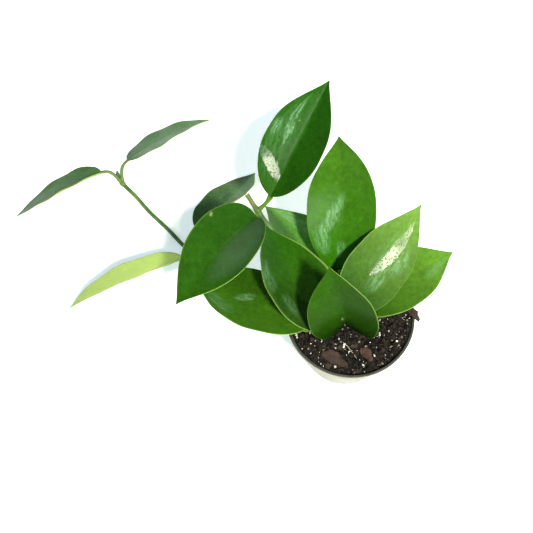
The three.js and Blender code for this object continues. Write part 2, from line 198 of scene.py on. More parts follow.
# %% [markdown]
# ## Shader sums as Python sums
# A material's pattern is arithmetic on numbers that vary over the surface. Placing Math nodes by hand
# hides that arithmetic, so one small class wraps a socket and lets Python's operators add the nodes.
# Colours are blended by a Mix node, because a Math node would turn them grey.

# %% The class that wraps a socket
class Paint:
    """One socket of a node tree. Sums of paints add Math nodes, and node() adds any other node."""

    def __init__(self, tree, socket=None):
        self.tree = tree
        self.socket = socket

    def node(self, kind, settings=None, sockets=None, output=0):
        """Adds a node of a type, sets its settings, then puts values or links into its sockets."""
        made = self.tree.nodes.new(kind)
        for name, value in (settings or {}).items():
            setattr(made, name, value)
        for name, value in (sockets or {}).items():
            if isinstance(value, Paint):
                self.tree.links.new(value.socket, made.inputs[name])
            else:
                made.inputs[name].default_value = value
        return Paint(self.tree, made.outputs[output] if made.outputs else None)

    def math(self, operation, *values):
        """One Math node, whose inputs are the values in their order."""
        return self.node("ShaderNodeMath", {"operation": operation}, dict(enumerate(values)))

    def __add__(self, other):
        return self.math("ADD", self, other)

    def __radd__(self, other):
        return self.math("ADD", other, self)

    def __sub__(self, other):
        return self.math("SUBTRACT", self, other)

    def __rsub__(self, other):
        return self.math("SUBTRACT", other, self)

    def __mul__(self, other):
        return self.math("MULTIPLY", self, other)

    def __rmul__(self, other):
        return self.math("MULTIPLY", other, self)

    def __truediv__(self, other):
        return self.math("DIVIDE", self, other)

    def __pow__(self, other):
        return self.math("POWER", self, other)

    def __abs__(self):
        return self.math("ABSOLUTE", self)

    def between(self, low, high):
        """0 at low, 1 at high and eased in between."""
        settings = {"interpolation_type": "SMOOTHSTEP"}
        sockets = {"Value": self, "From Min": low, "From Max": high}
        return self.node("ShaderNodeMapRange", settings, sockets)

    def tint(self, start, end):
        """The colour start where this paint is 0, and end where it is 1."""
        return self.node("ShaderNodeMix", {"data_type": "RGBA"}, {0: self, 6: start, 7: end}, output=2)

    def scaled(self, factor):
        """A colour made brighter or darker, each of its parts times the same factor."""
        sockets = {"Vector": self, "Scale": factor}
        return self.node("ShaderNodeVectorMath", {"operation": "SCALE"}, sockets)

    def noise(self, scale, detail=2.0, roughness=0.5, where=None):
        """Cloudy noise around 0.5 in the object's own coordinates, scale times a metre."""
        place = where or self.object_place()
        sockets = {"Vector": place, "Scale": scale, "Detail": detail, "Roughness": roughness}
        return self.node("ShaderNodeTexNoise", None, sockets)

    def object_place(self):
        """The object's own coordinates, in metres."""
        return self.node("ShaderNodeTexCoord", output="Object")

    def own_place(self):
        """The three numbers that each vertex carries, as three paints."""
        attribute = self.node("ShaderNodeAttribute", {"attribute_name": "place"}, output="Vector")
        return [self.node("ShaderNodeSeparateXYZ", None, {"Vector": attribute}, output=k) for k in range(3)]


# %% Helpers for materials
def colour(*screen_values):
    """Red, green and blue as a screen shows them, from 0 to 255, turned into the light they stand for."""
    shares = [value / 255 for value in screen_values]
    return [((x + 0.055) / 1.055) ** 2.4 if x > 0.04 else x / 12.92 for x in shares] + [1]


def new_material(name):
    """An empty material and the paint from which its nodes grow."""
    material = bpy.data.materials.new(name)
    material.use_nodes = True
    material.node_tree.nodes.clear()
    return material, Paint(material.node_tree)


def surface(start, **sockets):
    """Ends a material with a Principled shader: underscores in a name stand for the spaces in it."""
    named = {name.replace("_", " "): value for name, value in sockets.items()}
    shader = start.node("ShaderNodeBsdfPrincipled", None, named)
    start.node("ShaderNodeOutputMaterial", None, {"Surface": shader})


def bumps(start, height, distance, strength=1.0):
    """A normal tilted by a height field, whose full step is distance in metres."""
    return start.node("ShaderNodeBump", None,
                      {"Height": height, "Distance": distance, "Strength": strength})


print("middle grey on a screen is", round(colour(128, 128, 128)[0], 3), "of white's light")

# %% [markdown]
# ## Light
# The leaves are lit by a bright, small source in front, high up and a little to the right. A sun lamp
# would do for it, but an area lamp gives the shadows a soft edge that widens with distance. Two leaves
# also mirror a glint that comes from further to the right and lower, so a second, much weaker lamp stands
# there, and a large dim one on the left lifts the shaded halves. The rest of the room is pale blue and
# brighter near the horizon than overhead. A world of one colour would lay an even haze over the waxy
# faces that look up at the camera, and with a dark upper part they stay deep green while tilted ones
# catch a sheen. The plain colour transform keeps the greens as saturated as they are in daylight.

# %% Lamps and world
LAMP_TARGET = Vector((-40, 60, 60)) * MM
LAMPS = {
    "sun_side": dict(turn=-73, rise=58, away=1.3, size=0.09, power=33, tone=(1, 0.97, 0.9)),
    "glint_side": dict(turn=-35, rise=45, away=1.3, size=0.06, power=5, tone=(1, 0.9, 0.72)),
    "window_side": dict(turn=172, rise=40, away=1.2, size=0.5, power=1.5, tone=(0.82, 0.93, 1)),
}


def add_lamp(name, turn, rise, away, size, power, tone):
    """A square area lamp. Turn is the compass angle from the right-hand side, and rise its height, both
    in degrees as seen from the plant. Away and size are in metres."""
    lamp = bpy.data.lights.new(name, "AREA")
    lamp.size = size
    lamp.energy = power
    lamp.color = tone
    holder = bpy.data.objects.new(name, lamp)
    turn, rise = math.radians(turn), math.radians(rise)
    towards = Vector((math.cos(rise) * math.cos(turn), math.cos(rise) * math.sin(turn), math.sin(rise)))
    holder.location = LAMP_TARGET + away * towards
    holder.rotation_euler = towards.to_track_quat("Z", "Y").to_euler()
    bpy.context.scene.collection.objects.link(holder)


for name, settings in LAMPS.items():
    add_lamp(name, **settings)

SKY_LOW, SKY_HIGH = 0.85, 0.2
SKY_TONE = (0.64, 0.9, 1, 1)
world = bpy.data.worlds.new("pale_room")
world.use_nodes = True
world.node_tree.nodes.clear()
sky = Paint(world.node_tree)
towards_sky = sky.node("ShaderNodeTexCoord", output="Generated")
height = sky.node("ShaderNodeSeparateXYZ", None, {"Vector": towards_sky}, output="Z")
strength = SKY_LOW + height.between(0.35, 0.9) * (SKY_HIGH - SKY_LOW)
glow = sky.node("ShaderNodeBackground", None, {"Color": SKY_TONE, "Strength": strength})
sky.node("ShaderNodeOutputWorld", None, {"Surface": glow})
bpy.context.scene.world = world
bpy.context.scene.view_settings.view_transform = "Standard"
print("lamps:", ", ".join(LAMPS), "and a room from", SKY_LOW, "low down to", SKY_HIGH, "overhead")

# %% [markdown]
# ## The leaves as one formula
# A wax plant leaf is thick and stiff: a pointed oval, blunt at its base, with a sunken midrib, from which
# both halves rise like an open book. One blade could be modelled and copied thirteen times, but each leaf
# on the plant leans, bends and folds in its own way. So the blade is a formula of two parameters, the
# share of the length and the place across, and each leaf is a line of angles. The stalk (petiole) is
# carried along a curve from the stem and turns into the blade's first ring.

# %% The stems' nodes and the thirteen leaves, in millimetres and degrees
LEANING_NODE = (-61, 88, 115)
LEANING_FOOT = (-2, 24, 91)
LEANING_SHOULDER = (-5, 26, 94)
STUMP_NODE = (-13, 2, 96)
STUMP_FOOT = (-13, 2, 89)
RUNNER_FOOT = (-22, -4, 92)
RUNNER_BEND = (-27, -3, 90)
RUNNER_NODE = (-130, 111, 9)
RUNNER_END = (-198, 204, 8)
CUPPED_ROOT = (-5, -4, 70)

LEAVES = [
    dict(name="leaf_high_back", start=LEANING_NODE, base=(-49, 98, 118), length=104, width=58,
         heading=52, rise=18, roll=6, bend=-17, swerve=-1, twist=-3, fold_base=25, fold_tip=26, curl=11,
         tilts=[(0.23, 0.53, -0.078, -0.028, 11)]),
    dict(name="leaf_high_front", start=LEANING_NODE, base=(-63, 81, 118), length=105, width=57,
         heading=-135, rise=25, roll=-12, bend=17, swerve=14, twist=-9, fold_base=28, fold_tip=9, curl=26),
    dict(name="leaf_back_upright", start=LEANING_SHOULDER, base=(-5, 36, 95), length=111, width=55,
         heading=67, rise=57, roll=5, bend=54, swerve=23, twist=-2, fold_base=10, fold_tip=7, curl=11,
         bluntness=0.68, widest_at=0.42),
    dict(name="leaf_back_low", start=LEANING_FOOT, base=(-9, 24, 90), length=96, width=52,
         heading=112, rise=-2, roll=14, bend=2, swerve=13, twist=10, fold_base=14, fold_tip=11, curl=16),
    dict(name="leaf_right_high", start=STUMP_NODE, base=(-9, -3, 107), length=106, width=54,
         heading=44, rise=-2, roll=32, bend=-24, swerve=13, twist=11, fold_base=10, fold_tip=14, curl=9,
         tilts=[(0.57, -0.22, -0.052, 0.01, 11), (0.42, -0.06, 0.04, -0.09, 7),
                (0.8, -0.33, -0.08, 0.02, 9)]),
    dict(name="leaf_right_low", start=STUMP_FOOT, base=(2, 1, 91), length=94, width=56,
         heading=24, rise=4, roll=-7, bend=-4, swerve=-6, twist=-1, fold_base=15, fold_tip=7, curl=13),
    dict(name="leaf_front_cupped", start=CUPPED_ROOT, base=(-5, -7, 86), length=95, width=54,
         heading=80, rise=108, roll=5, bend=48, swerve=19, twist=-5, fold_base=37, fold_tip=-7, curl=9,
         bluntness=0.3, widest_at=0.38),
    dict(name="leaf_left_high", start=RUNNER_FOOT, base=(-31, -15, 103), length=95, width=63,
         heading=102, rise=3, roll=11, bend=-9, swerve=11, twist=33, fold_base=25, fold_tip=-4, curl=12),
    dict(name="leaf_left_low", start=RUNNER_BEND, base=(-37, -10, 95), length=106, width=58,
         heading=141, rise=-7, roll=13, bend=-3, swerve=6, twist=0, fold_base=16, fold_tip=5, curl=12),
    dict(name="leaf_runner_back", start=RUNNER_NODE, base=(-121, 129, 22), length=97, width=54,
         heading=47, rise=-12, roll=-40, bend=-1, swerve=2, twist=16, fold_base=20, fold_tip=3, curl=13),
    dict(name="leaf_runner_front", start=RUNNER_NODE, base=(-137, 99, 26), length=119, width=54,
         heading=-168, rise=4, roll=82, bend=10, swerve=-15, twist=-7, fold_base=10, fold_tip=8, curl=9),
    dict(name="leaf_end_left", start=RUNNER_END, base=(-217, 213, 20), length=100, width=54,
         heading=-170, rise=-9, roll=34, bend=6, swerve=20, twist=4, fold_base=16, fold_tip=2, curl=9),
    dict(name="leaf_end_right", start=RUNNER_END, base=(-189, 225, 18), length=102, width=55,
         heading=37, rise=-5, roll=-34, bend=10, swerve=-24, twist=-5, fold_base=1, fold_tip=13, curl=4),
]
print("leaves:", len(LEAVES), "from", min(leaf["length"] for leaf in LEAVES), "to",
      max(leaf["length"] for leaf in LEAVES), "mm long")

# %% The blade's outline and axes
WIDEST_AT = 0.41
BLUNTNESS = 0.56
TIP_FULLNESS = 2.5
TIP_TAPER = 1.45


def outline(share, widest_at, bluntness):
    """Half-width of a blade from base (0) to tip (1), as a share of the greatest: an arch of one minus
    a square up to the widest place, raised to the bluntness, then one that is drawn out to a point."""
    before = np.clip((widest_at - share) / widest_at, 0, 1)
    after = np.clip((share - widest_at) / (1 - widest_at), 0, 1)
    return np.where(share < widest_at, (1 - before**2) ** bluntness, (1 - after**TIP_FULLNESS) ** TIP_TAPER)


def blade_axes(leaf, share):
    """Three axes at each share of the length: along the midrib, across it and out of the upper face.
    Heading, rise and roll give the first ones, and swerve, bend and twist turn them evenly to the tip."""
    names = ("heading", "rise", "roll", "swerve", "bend", "twist")
    heading, rise, roll, swerve, bend, twist = (math.radians(leaf[name]) for name in names)
    along = np.array([math.cos(rise) * math.cos(heading), math.cos(rise) * math.sin(heading),
                      math.sin(rise)])
    level = np.array([-math.sin(heading), math.cos(heading), 0])
    upper = np.cross(along, level)
    across = math.cos(roll) * level + math.sin(roll) * upper
    up = -math.sin(roll) * level + math.cos(roll) * upper
    turn = np.asarray(share, float)[:, None]
    ahead = np.cos(swerve * turn) * along + np.sin(swerve * turn) * across
    side = -np.sin(swerve * turn) * along + np.cos(swerve * turn) * across
    raised = np.sin(bend * turn) * ahead + np.cos(bend * turn) * up
    return (np.cos(bend * turn) * ahead - np.sin(bend * turn) * up,
            np.cos(twist * turn) * side + np.sin(twist * turn) * raised,
            -np.sin(twist * turn) * side + np.cos(twist * turn) * raised)


print("half-width at a tenth, four tenths and nine tenths of the length:",
      np.round(outline(np.array([0.1, 0.4, 0.9]), WIDEST_AT, BLUNTNESS), 2))

# %% [markdown]
# ### The blade's thickness
# The blade is 1.6 mm thick at its midrib and 0.9 mm at its margin, which is round. A single sheet with a
# Solidify modifier would have a square margin, so both faces are worked out at once: the place across is
# the cosine of an angle that goes once round the section, over the upper face and back under the lower
# one. That also packs the points where the margin needs them. The midrib is a fine groove above and a
# keel below, and slow waves keep the faces from looking machined. Where a real blade mirrors the light,
# its face leans a little more than the plain form does, so a leaf can list tilts: a place, a slope along
# and across, and a reach in millimetres within which the extra slope fades out.

# %% Rings round a blade
BLADE_RINGS = 110
RING_POINTS = 96
FIRST_SHARE, LAST_SHARE = 0.003, 0.988
MIDDLE_THICKNESS, EDGE_THICKNESS = 1.6, 0.9
VALLEY = 0.07
RIB_DEPTH, RIB_WIDTH = 0.9, 1.5
GROOVE_DEPTH, GROOVE_WIDTH = 0.2, 0.55
WAVES, WAVE_HEIGHT, WAVE_SHIFT = 3.1, 0.7, 1.3
DIMPLE, DIMPLE_CELL = 0.22, 17
USUAL_HALF_WIDTH = 28


def blade_rings(leaf, seed):
    """Rings round a blade and the place of each point: share along, share across and face. A point is
    the midrib plus its distance across, which leans up by the fold and the curl, plus half the
    thickness along the face's normal. A tilt adds its slope times the distance from its place, which a
    bell curve lets fade out."""
    spread = (1 - np.cos(np.linspace(0, math.pi, BLADE_RINGS))) / 2
    share = FIRST_SHARE + (LAST_SHARE - FIRST_SHARE) * spread
    step = np.diff(share, prepend=0)
    heading = blade_axes(leaf, share - step / 2)[0]
    midrib = np.array(leaf["base"]) + np.cumsum(heading * step[:, None], axis=0) * leaf["length"]
    _, across, up = (axis[:, None, :] for axis in blade_axes(leaf, share))
    angle = around(RING_POINTS)
    v = np.cos(angle)[None, :]
    face = np.where(np.sin(angle) > -1e-9, 1.0, -1.0)[None, :]
    u = share[:, None]
    widest_at, bluntness = leaf.get("widest_at", WIDEST_AT), leaf.get("bluntness", BLUNTNESS)
    half = leaf["width"] / 2 * outline(u, widest_at, bluntness)
    fold = leaf["fold_base"] + (leaf["fold_tip"] - leaf["fold_base"]) * u
    slope = np.radians(fold + leaf["curl"] * np.abs(v) / 2)
    steep = np.radians(fold + leaf["curl"] * np.abs(v)) * np.sign(v)
    lift = half * (np.hypot(v, VALLEY) - VALLEY) * np.sin(slope)
    phase = 2 * math.pi * WAVES * u + seed + WAVE_SHIFT * v
    lift = lift + WAVE_HEIGHT * half / USUAL_HALF_WIDTH * np.abs(v) ** 3 * np.sin(phase)
    dimples = patchy(u * leaf["length"], v * half, DIMPLE_CELL, seed)
    lift = lift + DIMPLE * dimples * np.sqrt(half / USUAL_HALF_WIDTH)
    for at_along, at_across, slope_along, slope_across, reach in leaf.get("tilts", ()):
        ahead, aside = (u - at_along) * leaf["length"], (v - at_across) * half
        fade = np.exp(-(ahead**2 + aside**2) / 2 / reach**2)
        lift = lift + (slope_along * ahead + slope_across * aside) * fade
    round_from = np.clip(1 - EDGE_THICKNESS / 2 / half, 0, 1)
    past = np.clip(np.abs(v) - round_from, 0, 1) / (1 - round_from)
    rounding = np.sqrt(np.clip(1 - past**2, 0, 1))
    thickness = (EDGE_THICKNESS + (MIDDLE_THICKNESS - EDGE_THICKNESS) * (1 - v**2) * (1 - u**2)) * rounding
    aside = half * v
    keel = RIB_DEPTH * (1 - u) ** 1.5 * np.exp(-((aside / RIB_WIDTH) ** 2)) * (face < 0)
    groove = GROOVE_DEPTH * (1 - u) * np.exp(-((aside / GROOVE_WIDTH) ** 2)) * (face > 0)
    offset = face * (thickness / 2 - groove) - keel
    rings = (midrib[:, None, :]
             + across * (aside * np.cos(slope) - offset * np.sin(steep))[..., None]
             + up * (lift + offset * np.cos(steep))[..., None])
    return rings, stacked(u, v, face * rounding)


print("a blade has", BLADE_RINGS, "rings of", RING_POINTS, "points")

# %% [markdown]
# ### The stalk
# The stalk leaves the stem's node, arches over and runs into the midrib. A pipe that only touches the
# blade would look glued on. Here its rings have as many points as the blade's and are simply the first
# rings of the same skin, round at the stem and flattened into the blade's own section at the end. The
# ring's side direction is carried along from the blade backwards, so that the skin doesn't twist.

# %% Rings round a stalk
STALK_RINGS = 26
STALK_RADIUS = 1.65
STALK_FLARE = 0.25
STALK_OFFSET = 1.2
STALK_REACH = 0.45
FLATTEN_FROM = 0.62


def unit(vectors):
    """Vectors at length 1: each divided by its own length."""
    return vectors / np.linalg.norm(vectors, axis=-1, keepdims=True)


def bezier(points, share):
    """A cubic Bezier curve through the first and last of four points, and its direction there."""
    t = share[:, None]
    a, b, c, d = points
    place = (1 - t) ** 3 * a + 3 * (1 - t) ** 2 * t * b + 3 * (1 - t) * t**2 * c + t**3 * d
    return place, unit((1 - t) ** 2 * (b - a) + 2 * (1 - t) * t * (c - b) + t**2 * (d - c))


def carried(side, directions):
    """A side direction for each of a row of directions: the one before, less its part along the new
    direction, at unit length."""
    sides = []
    for direction in directions:
        side = unit(side - direction * (side @ direction))
        sides.append(side)
    return np.array(sides)


def stalk_rings(leaf, first_ring):
    """Rings from the stem's node to the blade's first ring, and their places, which run from -1 to 0."""
    base, node = np.array(leaf["base"], float), np.array(leaf["start"], float)
    start = node + STALK_OFFSET * unit(base - node)
    along, across, _ = (axis[0] for axis in blade_axes(leaf, [0]))
    approach = base - STALK_REACH * np.linalg.norm(base - start) * along
    share = np.linspace(0, 1, STALK_RINGS, endpoint=False)
    center, direction = bezier([start, (start + approach) / 2, approach, base], share)
    side = carried(across, direction[::-1])[::-1]
    over = np.cross(direction, side)
    angle = around(RING_POINTS)
    radius = STALK_RADIUS * (1 + STALK_FLARE * (1 - share) ** 4)
    circle = side[:, None] * np.cos(angle)[:, None] + over[:, None] * np.sin(angle)[:, None]
    circle = circle * radius[:, None, None]
    flat = first_ring - first_ring.mean(axis=0)
    blend = eased((share - FLATTEN_FROM) / (1 - FLATTEN_FROM))[:, None, None]
    rings = center[:, None] + circle * (1 - blend) + flat[None] * blend
    return rings, stacked(share[:, None] - 1, np.cos(angle)[None], np.sin(angle)[None])


print("a stalk has", STALK_RINGS, "rings")

# %% [markdown]
# ### The leaf's wax
# A young blade is a deep, mottled green with a hair-thin pale margin. Its veins hardly show, and its lower
# face is paler and duller. The wax on it is uneven. Most of it gives a broad, weak sheen, and where it is
# thick it mirrors the sun. The sheen that tilted faces show as grey veils and pale streaks is painted into
# the colour, as are the light and shade on each half and a painted highlight on margins that catch the
# light.
# One even gloss would show the sun as one smooth blot, so the gloss is weak all over, and a clear coat
# comes on top only in spots, broken up by grain. The pattern follows the leaf and not the room, so it reads
# the place that each vertex carries.

# %% The leaf's colours and the scales of its patterns
MARGIN_COLOUR = colour(108, 140, 62)
RIB_COLOUR = colour(92, 128, 58)
# Painted sheen: a pale green for streaks of reflected light, also used for one pale midrib mark.
PAINTED_SHEEN_AND_MARK_COLOUR = colour(132, 176, 132)
# Painted sheen: a grey veil of reflected light.
PAINTED_GREY_SHEEN_COLOUR = colour(112, 124, 112)
SCAR_COLOUR = colour(138, 140, 96)
LOWER_FACE = ((137, 162, 85), (150, 176, 98))
GREEN_STALK = ((54, 88, 20), (82, 114, 38))
PALE_STALK = ((80, 100, 50), (104, 126, 68))
NOISE_SCALES = (45, 260, 700, 1500)
STREAKS_ALONG, STREAKS_ACROSS = 9, 11
VEINS, VEIN_SLANT, VEIN_LIGHT = 10, 2.6, 1.5
FLECK_LIGHT = 2.2
MARGIN_FULL_AT = 0.998
RIB_REACH, RIB_STRENGTH = 0.03, 0.07
STALK_FADE = (-0.12, 0.035)
print("wax patterns in steps of", [round(1000 / scale, 1) for scale in NOISE_SCALES], "mm")


# %% A function that makes a leaf material
def soft_spot(along, across, at_along, at_across, reach_along, reach_across, slant=0.0):
    """1 in the middle of a spot on the blade, eased to 0 at an ellipse round it. The slant is how far the
    spot moves across for each step along."""
    ahead = along - at_along
    aside = across - at_across - ahead * slant
    return 1 - ((ahead / reach_along) ** 2.0 + (aside / reach_across) ** 2.0).between(0.0, 1.0)


def leaf_material(name, base, tip, left=1.0, right=1.0, gloss=0.08, edges=(0.4, 0.4), rim=0.03,
                  lower=LOWER_FACE, stalk=GREEN_STALK, painted_grey_sheen=(), painted_sheen_and_marks=(), sparks=(), scars=()):
    """Wax plant green from base to tip, and the lower face and the stalk in two tones each. Left and
    right brighten or darken a half as painted light and shade, and edges say how pale each half's margin
    is, which is rim wide: partly the margin's own pale green and partly a painted highlight. The grey sheen
    spots are smooth spots of painted reflection with their strength, and the sheen and mark spots are the
    same but streaky: painted sheen, and on one leaf a pale midrib mark. Sparks are spots of clear coat,
    and scars are places with their size."""
    material, start = new_material(name)
    along, across, face = start.own_place()
    cloud, mottle, speckle, grain = (start.noise(scale, 3, 0.6) for scale in NOISE_SCALES)
    drawn_out = {"X": along * STREAKS_ALONG + mottle * 1.6, "Y": across * STREAKS_ACROSS + mottle * 2.2}
    streak = start.noise(1.0, 5, 0.7, start.node("ShaderNodeCombineXYZ", None, drawn_out))

    patches = 1 + (cloud - 0.5) * 0.6 + (mottle - 0.5) * 0.8 + (speckle - 0.5) * 0.4
    # Painted light and shade: the left and right factors brighten or darken each half of the blade.
    painted_half_shading = right + across.between(-0.3, 0.3) * (left - right)
    upper = along.tint(colour(*base), colour(*tip)).scaled(patches * painted_half_shading)
    order = along * VEINS - abs(across) * VEIN_SLANT + (cloud - 0.5) * 1.2
    vein = 1 - abs(order.math("FRACT", order) - 0.5).between(0.0, 0.08)
    vein = vein * (1 - abs(across).between(0.5, 0.9)) * 0.3
    upper = vein.tint(upper, upper.scaled(VEIN_LIGHT))
    flecks = mottle.between(0.66, 0.74) * grain.between(0.45, 0.6) * 0.35
    upper = flecks.tint(upper, upper.scaled(FLECK_LIGHT))
    # Painted sheen: smooth grey spots where a tilted face reflects the room.
    for *spot, strength in painted_grey_sheen:
        upper = (soft_spot(along, across, *spot) * strength).tint(upper, PAINTED_GREY_SHEEN_COLOUR)
    # Painted sheen: pale streaky spots of reflected light; the small one on the cupped leaf is a pale
    # midrib mark.
    for *spot, strength in painted_sheen_and_marks:
        patch = soft_spot(along, across, *spot) * streak.between(0.36, 0.68) * strength
        upper = patch.tint(upper, PAINTED_SHEEN_AND_MARK_COLOUR)
    # A pale margin: partly the edge's own paler green, raised into a painted highlight where a margin
    # catches the light.
    left_margin = across.between(1 - rim, MARGIN_FULL_AT) * edges[0]
    right_margin = (-1 * across).between(1 - rim, MARGIN_FULL_AT) * edges[1]
    upper = (left_margin + right_margin).tint(upper, MARGIN_COLOUR)
    rib = (1 - abs(across).between(0.0, RIB_REACH)) * (1 - along.between(0.2, 0.95)) * RIB_STRENGTH
    upper = rib.tint(upper, RIB_COLOUR)
    for place_along, place_across, size in scars:
        apart = ((along - place_along) ** 2.0 + ((across - place_across) * 0.3) ** 2.0) ** 0.5
        scar = (1 - (apart + (mottle - 0.5) * size * 2.4).between(size * 0.4, size)) * 0.6
        upper = scar.tint(upper, SCAR_COLOUR)

    under = along.tint(*(colour(*tone) for tone in lower)).scaled(1 + (mottle - 0.5) * 0.3)
    upside = face.between(-0.2, 0.2)
    stalk_tone = (mottle * 0.7 + cloud * 0.4).tint(*(colour(*tone) for tone in stalk))
    painted = along.between(*STALK_FADE).tint(stalk_tone, upside.tint(under, upper))
    coat = 0.0
    sparkle = speckle.between(0.37, 0.49) * 0.9 + 0.1
    for spot in sparks:
        patch = (soft_spot(along, across, *spot) * 1.4 + (streak - 0.5) * 2.2 - 0.3).between(0.0, 0.5)
        coat = coat + patch * sparkle
    surface(start, Base_Color=painted, Roughness=0.34 + (cloud - 0.5) * 0.16 + (1 - upside) * 0.2,
            IOR=1.45, Specular_IOR_Level=gloss, Coat_Weight=coat, Coat_Roughness=0.28, Coat_IOR=1.75,
            Subsurface_Weight=0.12, Subsurface_Radius=(0.4, 1.0, 0.15), Subsurface_Scale=0.0012,
            Normal=bumps(start, grain * 0.35 + mottle * 0.65, 0.0003, 0.7))
    return material


# %% Tones and spots for each leaf
# A spot is its place along and across, its reach along and across, and its slant, then its strength.
# Left and right paint light and shade onto the halves. The grey spots and the streaky spots are painted
# sheen, except the small streaky spot of the cupped leaf, a pale midrib mark.
LEAF_LOOKS = {
    "leaf_high_back": dict(
        base=(25, 65, 3), tip=(27, 72, 7), left=1.15, right=0.90, edges=(0.1, 0.1), gloss=0.04,
        painted_sheen_and_marks=[(0.6, 0.5, 0.27, 0.16, 0.7, 0.5), (0.5, 0.82, 0.1, 0.16, 0.0, 0.4),
               (0.42, 0.6, 0.4, 0.5, 0.0, 0.15)],
        sparks=[(0.225, 0.53, 0.12, 0.42, 4.0)], scars=[(0.62, 0.3, 0.012), (0.55, 0.36, 0.01)]),
    "leaf_high_front": dict(
        base=(29, 68, 8), tip=(33, 72, 8), left=0.90, right=0.95, edges=(0.3, 0.3), gloss=0.05,
        painted_grey_sheen=[(0.3, 0.5, 0.5, 0.6, 0.0, 0.14)], scars=[(0.36, -0.9, 0.022)]),
    "leaf_back_upright": dict(
        base=(37, 88, 4), tip=(54, 92, 20), left=1.00, right=0.95, edges=(0.3, 0.3), gloss=0.04,
        painted_sheen_and_marks=[(0.4, 0.3, 0.2, 0.26, -2.0, 0.45), (0.23, 0.62, 0.14, 0.36, 0.0, 0.35),
               (0.17, -0.05, 0.08, 0.24, 0.0, 0.35)]),
    "leaf_back_low": dict(
        base=(70, 124, 38), tip=(66, 100, 44), left=0.75, right=1.30, edges=(0.3, 0.3),
        painted_sheen_and_marks=[(0.8, -0.55, 0.16, 0.35, 0.0, 0.5), (0.64, -0.48, 0.16, 0.3, 0.0, 0.5)]),
    "leaf_right_high": dict(
        base=(12, 50, 8), tip=(92, 128, 50), left=1.00, right=1.00, edges=(0.6, 0.5), gloss=0.02,
        painted_sheen_and_marks=[(0.38, -0.3, 0.16, 0.3, 0.0, 0.35), (0.56, -0.58, 0.16, 0.25, 0.0, 0.35),
               (0.6, 0.1, 0.3, 0.3, -0.6, 0.12)],
        sparks=[(0.6, -0.2, 0.33, 0.27, -0.75)], scars=[(0.56, -0.5, 0.014)]),
    "leaf_right_low": dict(
        base=(34, 70, 3), tip=(86, 128, 38), left=0.92, right=1.08, edges=(0.5, 0.4),
        painted_sheen_and_marks=[(0.8, -0.43, 0.16, 0.4, 0.0, 0.35)]),
    "leaf_front_cupped": dict(
        base=(12, 36, 1), tip=(34, 70, 3), left=1.14, right=0.87, edges=(0.3, 0.3), gloss=0.03,
        painted_sheen_and_marks=[(0.32, 0.08, 0.05, 0.05, 0.0, 0.6)]),
    "leaf_left_high": dict(
        base=(37, 66, 14), tip=(28, 74, 1), left=0.92, right=1.08, edges=(0.2, 1.8), rim=0.09, gloss=0.05,
        painted_sheen_and_marks=[(0.49, 0.8, 0.14, 0.28, 0.0, 0.25), (0.6, 0.83, 0.1, 0.2, 0.0, 0.2),
               (0.24, 0.5, 0.14, 0.24, 0.0, 0.2)]),
    "leaf_left_low": dict(
        base=(51, 91, 16), tip=(34, 67, 3), left=1.15, right=0.75, edges=(0.5, 0.4), gloss=0.04,
        painted_sheen_and_marks=[(0.53, -0.02, 0.09, 0.2, 2.0, 0.35), (0.67, 0.67, 0.18, 0.34, 0.0, 0.2)]),
    "leaf_runner_back": dict(
        base=(42, 88, 16), tip=(100, 124, 84), left=0.71, right=1.40, edges=(0.3, 0.3),
        painted_sheen_and_marks=[(0.6, 0.3, 0.3, 0.3, 0.0, 0.2)]),
    "leaf_runner_front": dict(
        base=(66, 98, 40), tip=(86, 120, 56), lower=((140, 160, 80), (115, 132, 68)), edges=(0.3, 0.3)),
    "leaf_end_left": dict(
        base=(50, 75, 38), tip=(58, 82, 46), left=0.62, right=1.60, edges=(0.3, 0.3), stalk=PALE_STALK,
        painted_sheen_and_marks=[(0.64, -0.43, 0.2, 0.3, 0.0, 0.2)]),
    "leaf_end_right": dict(
        base=(45, 88, 33), tip=(98, 132, 80), left=0.97, right=1.03, edges=(0.3, 0.3), stalk=PALE_STALK,
        painted_sheen_and_marks=[(0.5, 0.2, 0.3, 0.4, 0.0, 0.1)]),
}

for seed, leaf in enumerate(LEAVES):
    blade, blade_places = blade_rings(leaf, seed)
    stalk, stalk_places = stalk_rings(leaf, blade[0])
    name = leaf["name"]
    waxy = skin("waxy_" + name, np.vstack([stalk, blade]), np.vstack([stalk_places, blade_places]))
    dress(waxy, leaf_material("wax_" + name, **LEAF_LOOKS[name]), "leaf", name)
print("leaves skinned:", len(LEAVES), "with", len(waxy.data.polygons), "faces each")

# %% [markdown]
# ## The vine
# The stems are smooth green rods with a swollen node wherever leaves grow. A Curve object with a bevel
# would give the rod but not the nodes. So a smooth line is carried through chosen points, and rings are
# set round it whose radius swells near each node.

# %% A smooth line through points, and a rod round it
STEPS_BETWEEN = 40


